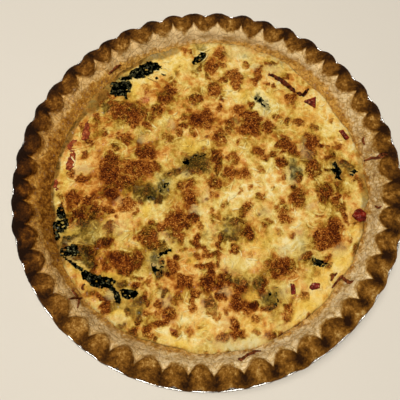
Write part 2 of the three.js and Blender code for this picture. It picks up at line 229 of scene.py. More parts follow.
class Finish:
    """A material of a piece, mixed from nodes."""

    def __init__(self, name):
        self.material = bpy.data.materials.new(name)
        self.material.use_nodes = True
        self.tree = self.material.node_tree
        self.tree.nodes.clear()
        self.place = self.node("ShaderNodeTexCoord", output="Object")

    def node(self, kind, settings=None, sockets=None, output=0):
        made = self.tree.nodes.new(kind)
        for name, value in (settings or {}).items():
            if name == "stops":
                self.set_stops(made.color_ramp, value)
            else:
                setattr(made, name, value)
        for name, value in (sockets or {}).items():
            if isinstance(value, Wire):
                self.tree.links.new(value.socket, made.inputs[name])
            else:
                made.inputs[name].default_value = value
        return Wire(self, made.outputs[output])

    @staticmethod
    def set_stops(color_ramp, stops):
        while len(color_ramp.elements) < len(stops):
            color_ramp.elements.new(1.0)
        for element, (position, colour) in zip(color_ramp.elements, stops):
            element.position = position
            element.color = colour

    def grain(self, size, detail=3, roughness=0.6, where=None, distortion=0):
        """Cloudy noise around 0.5, with lumps of about this size in metres."""
        sockets = {"Vector": where or self.place, "Scale": 1 / size, "Detail": detail}
        sockets |= {"Roughness": roughness, "Distortion": distortion}
        return self.node("ShaderNodeTexNoise", {}, sockets)

    def cells(self, size, feature="F1", where=None):
        """Distance to the nearest of scattered points about this far apart in metres."""
        sockets = {"Vector": where or self.place, "Scale": 1 / size}
        return self.node("ShaderNodeTexVoronoi", {"feature": feature}, sockets)

    def crumbs(self, size, where=None):
        """An even number from 0 to 1 for each of many crumbs of about this size in metres."""
        sockets = {"Vector": where or self.place, "Scale": 1 / size}
        return self.node("ShaderNodeTexVoronoi", {}, sockets, output="Color")

    def painted(self, name):
        """A number painted on the piece's points."""
        return self.node("ShaderNodeAttribute", {"attribute_name": name}, output="Fac")

    def mix(self, share, first, second):
        """From the first colour to the second."""
        return self.node("ShaderNodeMix", {"data_type": "RGBA"}, {0: share, 6: first, 7: second}, 2)

    def shades(self, value, stops):
        """Turns a number into colours along a ramp."""
        return self.node("ShaderNodeValToRGB", {"stops": stops}, {0: value})

    def done(self, colour, roughness, height, strength, distance, gloss=0.12, metal=0.0, wet=0.0):
        """Joins the finish to its shader. Gloss and metal are plain numbers for the whole piece."""
        sockets = {"Base Color": colour, "Roughness": roughness, "Coat Weight": wet}
        sockets |= {"Specular IOR Level": gloss, "Metallic": metal, "Coat Roughness": 0.16}
        if not metal:
            sockets["Specular Tint"] = (1.0, 0.84, 0.62, 1.0)
        bump = {"Height": height, "Strength": strength, "Distance": distance}
        sockets["Normal"] = self.node("ShaderNodeBump", {}, bump)
        shader = self.node("ShaderNodeBsdfPrincipled", {}, sockets)
        self.node_output(shader)
        print("finish", self.material.name, "has", len(self.tree.nodes), "nodes")
        return self.material

    def node_output(self, shader):
        output = self.tree.nodes.new("ShaderNodeOutputMaterial")
        self.tree.links.new(shader.socket, output.inputs["Surface"])


# %% [markdown]
# ## From a bmesh to a piece
#
# Every piece ends the same way: its faces are turned outwards and smoothed, and it becomes an
# object that sits at the origin, rides on the part's one body and stands for the plain solids that
# it covers. One function does that for all of them.

# %% Finish a piece


def paint(bm, name, values):
    """Keeps a number for every point of a bmesh, under a name that a material can read."""
    layer = bm.verts.layers.float.new(name)
    for vert, value in zip(bm.verts, values):
        vert[layer] = value


def make_piece(name, bm, material, stands_for=()):
    """Turns a bmesh into an object of the quiche."""
    bmesh.ops.recalc_face_normals(bm, faces=bm.faces)
    for face in bm.faces:
        face.smooth = True
    mesh = bpy.data.meshes.new(name)
    bm.to_mesh(mesh)
    bm.free()
    mesh.materials.append(material)
    piece = bpy.data.objects.new(name, mesh)
    bpy.context.scene.collection.objects.link(piece)
    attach(piece, "root")
    if stands_for:
        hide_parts(*stands_for)
    print(name, "has", sum(len(face.vertices) - 2 for face in mesh.polygons), "triangles")
    return piece


def spin_profile(points, columns):
    """Turns a profile of (radius, height) points once round the axis. Each point keeps its row."""
    bm = bmesh.new()
    row = bm.verts.layers.float.new("row")
    verts = []
    for number, (radius, height) in enumerate(points):
        vert = bm.verts.new((radius, 0, height))
        vert[row] = number
        verts.append(vert)
    edges = [bm.edges.new(pair) for pair in zip(verts, verts[1:])]
    bmesh.ops.spin(
        bm,
        geom=verts + edges,
        axis=(0, 0, 1),
        cent=(0, 0, 0),
        angle=2 * pi,
        steps=columns,
        use_merge=True,
        use_normal_flip=False,
        use_duplicate=False,
    )
    bmesh.ops.remove_doubles(bm, verts=bm.verts, dist=1e-7)
    return bm, row


# %% [markdown]
# ## The foil tin
#
# The tin is one thin sheet, pressed over a form: a flat bottom, a sloping wall that is pleated
# because the sheet has to get shorter towards the bottom, a narrow flange, and an edge rolled into a
# bead. A cylinder with loop cuts would do for the shape, but a spun profile follows the section
# exactly, and the pleats and the small dents in the bead are then moved into it point by point.

# %% Spin the tin and press its pleats
PLEATS = 92
TIN_COLUMNS = PLEATS * 6
WALL_TOP = RIM_RADIUS - FLANGE_WIDTH
BEAD_RADIUS = 0.6 * MM
PLEAT_DEPTH = 0.45 * MM
BEAD_DENT = 0.3 * MM
WALL_STEPS = 12
FLANGE_STEPS = 4


def stretch(start, end, steps):
    """Points from start up to, but without, end."""
    return [tuple(lerp(a, b, i / steps) for a, b in zip(start, end)) for i in range(steps)]


def tin_profile():
    """The tin's section: out under the bottom, up the wall, round the bead and back inside."""
    wall_foot = (BASE_RADIUS, 0)
    wall_head = (WALL_TOP + FOIL, FLANGE_HEIGHT - FOIL)
    points = [(0, 0), (BASE_RADIUS * 0.5, 0)]
    points += stretch(wall_foot, wall_head, WALL_STEPS)
    under_bead = (RIM_RADIUS - 2 * BEAD_RADIUS, FLANGE_HEIGHT - FOIL)
    points += stretch(wall_head, under_bead, FLANGE_STEPS)
    middle = (RIM_RADIUS - BEAD_RADIUS, FLANGE_HEIGHT + BEAD_RADIUS / 4)
    for turn in range(-130, 181, 30):
        around = (cos(radians(turn)), sin(radians(turn)))
        points.append(tuple(m + BEAD_RADIUS * a for m, a in zip(middle, around)))
    beside_bead = (RIM_RADIUS - 2.4 * BEAD_RADIUS, FLANGE_HEIGHT)
    inner_head, inner_foot = (WALL_TOP, FLANGE_HEIGHT), (BASE_RADIUS - FOIL, FOIL)
    points += stretch(beside_bead, inner_head, FLANGE_STEPS)
    points += stretch(inner_head, inner_foot, WALL_STEPS)
    points += [inner_foot, (BASE_RADIUS * 0.5, FOIL), (0, FOIL)]
    return points


def press_tin(bm):
    """Presses the pleats into the wall and small dents into the bead."""
    for vert in bm.verts:
        radius, angle, z = hypot(vert.co.x, vert.co.y), atan2(vert.co.y, vert.co.x), vert.co.z
        if radius < BASE_RADIUS * 0.9:
            continue
        pleat = abs((angle * PLEATS / (2 * pi)) % 1 - 0.5) * 2
        pleat *= 0.65 + 0.35 * noise.noise(Vector((4 * angle, z / MM * 0.05, 3)))
        wall = min(z / FLANGE_HEIGHT * 5, 1) * (1 if radius < WALL_TOP + FOIL else 0)
        radius += PLEAT_DEPTH * pleat * wall
        rolled = ramp(radius, RIM_RADIUS - 3 * BEAD_RADIUS, RIM_RADIUS - BEAD_RADIUS)
        spot = Vector((cos(angle), sin(angle), 0)) * 60
        radius += BEAD_DENT * rolled * (noise.noise(spot) - 0.4)
        vert.co.z += BEAD_DENT * rolled * noise.noise(spot + Vector((0, 0, 9)))
        vert.co.x, vert.co.y = radius * cos(angle), radius * sin(angle)


tin_mesh, _ = spin_profile(tin_profile(), TIN_COLUMNS)
press_tin(tin_mesh)

# %% [markdown]
# Foil is bare metal with a bright, uneven sheen: pressing leaves little creases that throw the light
# about. A metal shader with a low, slightly changing roughness gives the sheen, and a bump of two
# noises the creases that are too small for the mesh. Its grey is mottled darker and lighter along
# the creases and in broad patches, as painted reflection.

# %% The foil's finish


def foil_finish():
    foil = Finish("foil")
    creases = foil.grain(0.0022, detail=2, distortion=0.6)
    fine = foil.grain(0.0006, detail=2)
    reflection_patches = foil.grain(0.003, detail=3).soft_step(0.4, 0.62)
    # Painted reflection: the grey is mottled darker and lighter along the creases and in broad patches.
    shade = foil.mix(creases * 0.5 + reflection_patches * 0.5, tint(164, 161, 154), tint(232, 231, 228))
    height = creases * 0.7 + fine * 0.3
    roughness = 0.2 + creases * 0.16
    return foil.done(shade, roughness, height, strength=0.55, distance=0.0004, metal=1.0)


make_piece("tin", tin_mesh, foil_finish(), ["foil_tin"])

# %% [markdown]
# ## The pastry case
#
# The rim is shaped between finger and thumb: at every pinch the pastry is pushed outwards into a
# round bump, and between two pinches it is pressed in towards the filling. We could sculpt the
# flutes, but a rule keeps all 46 alike and each a little different. One column of the case is a
# chain of control points; the pinch and the lobe have their own chain, and every column lies
# between the two. The case is spun first, and then each point is moved on to its column's curve.

# %% Measures of the rim
PINCH_OUTER = 114.4 * MM
LOBE_OUTER = 111.4 * MM
SHALLOW_PINCH_OUTER = 113.9 * MM  # where the rim's outside is hardly fluted
SHALLOW_LOBE_OUTER = 113.7 * MM
PINCH_INNER = 106 * MM
LOBE_INNER = 101 * MM
RIM_TOP = 35 * MM
ON_FLANGE = FLANGE_HEIGHT + CLEARANCE
# How deep the rim is fluted on its outside, at each compass point, from +X towards +Y.
REACH = [0.75, 1.0, 1.0, 0.9, 0.4, 0.4, 0.35, 0.25]


def round_the_compass(values, angle):
    """Reads a list of values at even compass points, softly between them."""
    place = (angle / (2 * pi)) % 1 * len(values)
    start = floor(place)
    share = ramp(place - start, 0, 1)
    return lerp(values[start % len(values)], values[(start + 1) % len(values)], share)


depths = [round(float(round_the_compass(REACH, radians(turn))), 2) for turn in range(0, 360, 60)]
print("every 60 degrees the rim is fluted this deep:", depths)

# %% The curve of one column of pastry
# Rows of mesh between one control point and the next, from under the case up over the rim.
ROWS = [3, 7, 4, 5, 6, 9, 8, 9, 10, 16, 6, 3]
FLANGE_LINE = 3  # the control point where the case lies on the tin's flange
FILL_LINE = 10  # the one where the filling meets the wall


def flute_of(turn):
    """Angle of a column, its nearest pinch and lobe, and its place between them."""
    flute = floor(turn * FLUTES) % FLUTES
    share = (turn * FLUTES) % 1
    pinch = flute if share < 0.5 else (flute + 1) % FLUTES
    drift = 0.05 * sin(10 * pi * turn) + 0.05 * sin(26 * pi * turn + 1)
    angle = FIRST_PINCH + 2 * pi * (turn + drift / FLUTES)
    return angle, flute, pinch, share


def column_chain(turn):
    """Control points (radius, height) of one column, up the outside and down the inside."""
    angle, flute, pinch, share = flute_of(turn)
    outward, inward = abs(cos(pi * share)), abs(sin(pi * share)) ** 0.85
    pushed = round_the_compass(REACH, angle)
    bump = lerp(SHALLOW_PINCH_OUTER, PINCH_OUTER, pushed) + 0.3 * MM * uneven(pinch, 1)
    valley = lerp(SHALLOW_LOBE_OUTER, LOBE_OUTER, pushed) + 0.3 * MM * uneven(flute, 2)
    notch = PINCH_INNER + 0.7 * MM * uneven(pinch, 3)
    lobe = LOBE_INNER + 0.5 * MM * uneven(flute, 4)
    outer, inner = lerp(valley, bump, outward), lerp(notch, lobe, inward)
    top = RIM_TOP + 0.6 * MM * uneven(pinch, 5) * outward + 0.4 * MM * uneven(flute, 6) * inward
    crest = lerp(inner, outer, 0.55)
    edge = fill_radius(angle)
    return [
        (0, FOIL + CLEARANCE),
        (BASE_RADIUS - MM, FOIL + CLEARANCE),
        (WALL_TOP - 0.5 * MM, ON_FLANGE - 0.1 * MM),
        (min(outer - 1.2 * MM, RIM_RADIUS - 2.3 * MM), ON_FLANGE),
        (outer, ON_FLANGE + 1.8 * MM),
        (outer - 0.9 * MM, top - 1.5 * MM),
        (crest, top),
        (inner + 1.3 * MM, top - 0.8 * MM),
        (inner, top - 2.8 * MM),
        (NECK_RADIUS + 2.4 * MM * (1 - inward), NECK_HEIGHT),
        (edge, FILL_EDGE_HEIGHT),
        (edge - CORNER_INSET, CORNER_HEIGHT),
        (0, CORNER_HEIGHT),
    ]


def pulls(p0, p1, p2, p3):
    """How a smooth curve through four points leaves the second: its slope, bend and twist."""
    return p2 - p0, 2 * p0 - 5 * p1 + 4 * p2 - p3, 3 * p1 - p0 - 3 * p2 + p3


def along(chain, place):
    """A point of the chain. Over the rim it is a smooth curve, elsewhere a straight line."""
    start = min(int(place), len(chain) - 2)
    share = place - start
    before, a, b, after = (chain[max(0, min(start + k, len(chain) - 1))] for k in (-1, 0, 1, 2))
    if not FLANGE_LINE <= start < FILL_LINE:
        return [lerp(p, q, share) for p, q in zip(a, b)]
    point = []
    for values in zip(before, a, b, after):
        slope, bend, twist = pulls(*values)
        point.append(values[1] + 0.5 * (slope * share + bend * share**2 + twist * share**3))
    return point


row_places = [k + i / steps for k, steps in enumerate(ROWS) for i in range(steps)] + [len(ROWS)]
print("the case has", len(row_places), "rows of points from the bottom over the rim to the middle")

# %% [markdown]
# Pastry is never smooth: it has fine cracks, crumbs and little blisters. Once the flutes are in
# place, every point that shows is pushed along its normal by two noises, one for dents as wide as a
# fingertip and one for crumbs. The first loop notes where on its column each point lies, because the
# browning follows the shape: what stands up and out browns first.

# %% Spin the case and shape its flutes
CRUMB_DEPTH = 0.16 * MM
DENT_DEPTH = 0.5 * MM
ROUGH_START = FLANGE_LINE + 0.2
COLUMNS_PER_FLUTE = 16
COLUMNS = FLUTES * COLUMNS_PER_FLUTE
chains = [column_chain(column / COLUMNS) for column in range(COLUMNS)]


def shape_case(bm, row):
    """Moves the spun case on to its columns' curves and returns where each point lies on them."""
    places = []
    for vert in bm.verts:
        column = round(atan2(vert.co.y, vert.co.x) / (2 * pi) * COLUMNS) % COLUMNS
        place = row_places[round(vert[row])]
        radius, z = along(chains[column], place)
        angle = flute_of(column / COLUMNS)[0]
        vert.co = (radius * cos(angle), radius * sin(angle), z)
        places.append((column / COLUMNS, angle, place))
    bm.normal_update()
    for vert, (_, _, place) in zip(bm.verts, places):
        if not ROUGH_START < place < FILL_LINE + 0.4:
            continue
        spot = vert.co / MM
        dent = noise.noise(spot * 0.16)
        crumb = noise.fractal(spot * 0.9, 0.7, 2.1, 3)
        edge = min(place - ROUGH_START, 1)
        vert.co += vert.normal * edge * (DENT_DEPTH * dent + CRUMB_DEPTH * crumb)
    return places


ring = [along(chains[0], place) for place in row_places]
case_mesh, case_row = spin_profile(ring, COLUMNS)
case_places = shape_case(case_mesh, case_row)
print("the case is shaped from", len(case_places), "points in", COLUMNS, "columns")

# %% [markdown]
# An oven browns a rim unevenly. The bumps outside are nearly burnt, the lobes between the pinches
# are brown, and the pointed hollow of each pinch stays pale, as does the wall next to the filling.
# One number for every point of the case says how far it is baked: about 0 is pale and 1 is nearly
# burnt. A second one says how golden the pale pastry is, because butter and egg have soaked into one
# side of the wall.

# %% Paint how far the pastry is baked

# At each compass point, from +X towards +Y: how dark the rim is, how golden the wall, how far the
# greasy, golden band beside the filling reaches up it, and how much of the rim's side stays light.
# The third list makes the wall a little lighter or darker at each compass point: partly its baking, partly
# painted light and shade, as the walls face the light more or less.
RIM_HEAT = [1.18, 1.15, 1.02, 1.08, 1.44, 0.86, 1.05, 1.22]
WALL_GOLD = [0.05, 0.26, 0.3, 0.65, 1.0, 0.35, 0.0, 0.0]
WALL_HEAT_AND_SHADE = [0.06, -0.12, -0.19, -0.04, 0.06, -0.07, -0.04, -0.06]
GREASY = [0.1, 0.6, 0.2, 0.7, 0.9, 0.2, 0.0, 0.0]
LIGHT_SIDE = [0.3, 0.1, 0.0, 0.0, 0.0, 0.15, 0.35, 0.7]


def baked(turn, angle, place, spot):
    """How far a point of the case is baked, and how golden it is."""
    share = (turn * FLUTES) % 1
    flute = floor(turn * FLUTES) % FLUTES
    inward, outward = abs(sin(pi * share)) ** 0.85, abs(cos(pi * share))
    patchy = noise.noise(spot * 0.22)
    blotch = noise.noise(spot * 0.5 + Vector((9, 0, 0)))
    fine = noise.fractal(spot * 0.8, 0.8, 2, 3)
    heat = round_the_compass(RIM_HEAT, angle)
    light_side = round_the_compass(LIGHT_SIDE, angle)
    # Where on the column the browned rim turns into the pale wall, and how softly.
    start = lerp(lerp(7.4, 7.9, light_side), 8.45, inward)
    start += 0.2 * patchy + 0.22 * blotch + 0.12 * uneven(flute, 8)
    soft = lerp(0.42, 0.6, light_side) + 0.5 * round_the_compass(WALL_GOLD, angle)
    above = ramp(place, start + soft, start - soft)
    # The rim: the bumps brown most, and the top of each pinch is scorched.
    scorch = np.exp(-((min(share, 1 - share) / 0.17) ** 2) - ((place - 6.7) / 0.9) ** 2)
    bump = outward * ramp(place, 6.6, 5.2)
    inner = lerp(0.62, 1, ramp(place, 8.4, 6.3))
    uneven_heat = 0.14 * patchy + 0.13 * blotch + 0.08 * fine
    top = heat * inner * (0.47 + 0.38 * bump + 0.4 * scorch + uneven_heat)
    # On the light side the outside of the rim stays light, up to a place on the column.
    low = lerp(5.2, lerp(6.7, 5.9, outward), light_side) + 0.35 * blotch
    top = lerp(top, 0.24 + 0.16 * blotch, light_side * ramp(place, low + 0.5, low - 0.5))
    # The wall: pale, a little darker under the rim and, where it is golden, beside the filling.
    # Partly painted light and shade: each side of the wall is made a little lighter or darker.
    wall = 0.12 + round_the_compass(WALL_HEAT_AND_SHADE, angle) + 0.08 * patchy + 0.14 * blotch + 0.1 * fine
    wall += 0.08 * (1 - light_side) * ramp(place, 9.3, 8.1)
    wall += 0.17 * round_the_compass(WALL_GOLD, angle) * ramp(place, 8.9, 9.8)
    reach = lerp(0.1, 1.1, round_the_compass(GREASY, angle)) + 0.25 * blotch
    greasy = ramp(place, FILL_LINE - reach - 0.2, FILL_LINE - reach + 0.25)
    gold = max(round_the_compass(WALL_GOLD, angle), greasy)
    return lerp(wall + 0.05 * greasy, top, above), gold


bake, gold = zip(*(baked(*at, vert.co / MM) for vert, at in zip(case_mesh.verts, case_places)))
paint(case_mesh, "bake", bake)
paint(case_mesh, "gold", gold)
print("baked from", round(min(bake), 2), "to", round(max(bake), 2))

# %% [markdown]
# The finish reads those two numbers. Fine noise is added to the baking before it picks a colour, so
# that the change from pale to brown is speckled and not a clean gradient. The palest pastry shows
# its flour as small light flecks.

# %% The pastry's finish


def pastry_finish():
    pastry = Finish("pastry")
    fleck = pastry.grain(0.0011, detail=4, roughness=0.78)
    cloud = pastry.grain(0.0034, detail=4, roughness=0.65)
    bake = pastry.painted("bake")
    crumbs = pastry.crumbs(0.0013)
    baking = bake + (fleck - 0.5) * 0.8 + (cloud - 0.5) * 0.55 + (crumbs - 0.5) * 0.12 - 0.02
    plain = pastry.shades(
        baking,
        [
            (0.0, tint(242, 219, 171)),
            (0.13, tint(214, 181, 120)),
            (0.28, tint(179, 137, 69)),
            (0.42, tint(136, 90, 28)),
            (0.62, tint(89, 53, 9)),
            (0.9, tint(36, 15, 2)),
        ],
    )
    golden = pastry.shades(
        baking,
        [
            (0.0, tint(224, 174, 88)),
            (0.13, tint(190, 136, 52)),
            (0.28, tint(152, 98, 28)),
            (0.42, tint(106, 60, 12)),
            (0.62, tint(64, 32, 5)),
            (0.9, tint(24, 8, 2)),
        ],
    )
    colour = pastry.mix(pastry.painted("gold"), plain, golden)
    pale = 1 - bake.soft_step(0.18, 0.4)
    flour = (fleck * 0.6 + cloud * 0.4).soft_step(0.53, 0.68) * pale
    colour = pastry.mix(flour * 0.55, colour, tint(240, 218, 184))
    # Painted shade: the cracks in the pale pastry are drawn darker.
    cracks = (1 - pastry.cells(0.0042, "DISTANCE_TO_EDGE").soft_step(0.0, 0.09)) * pale
    colour = pastry.mix(cracks * cloud * 0.6, colour, tint(132, 100, 54))
    height = fleck * 0.6 + cloud * 0.7 - cracks * 0.25
    roughness = 0.62 + fleck * 0.2
    return pastry.done(colour, roughness, height, strength=0.85, distance=0.0011, gloss=0.1)


make_piece("crust", case_mesh, pastry_finish(), ["pastry_case"])

# %% [markdown]
# ## Notes on the filling's top
#
# An oven leaves every filling with its own map of browned blisters, milky pools of cheese, yellow
# yolk and green stains beside the leaves. Noise alone would give a map of the right kind but not
# this one, so the larger marks are noted one by one, as they are seen in the picture: the middle of
# the mark across and down, its half width and half height, how many degrees it is turned, and how
# strong it is. Noise then frays their outlines and adds what is too small to note.

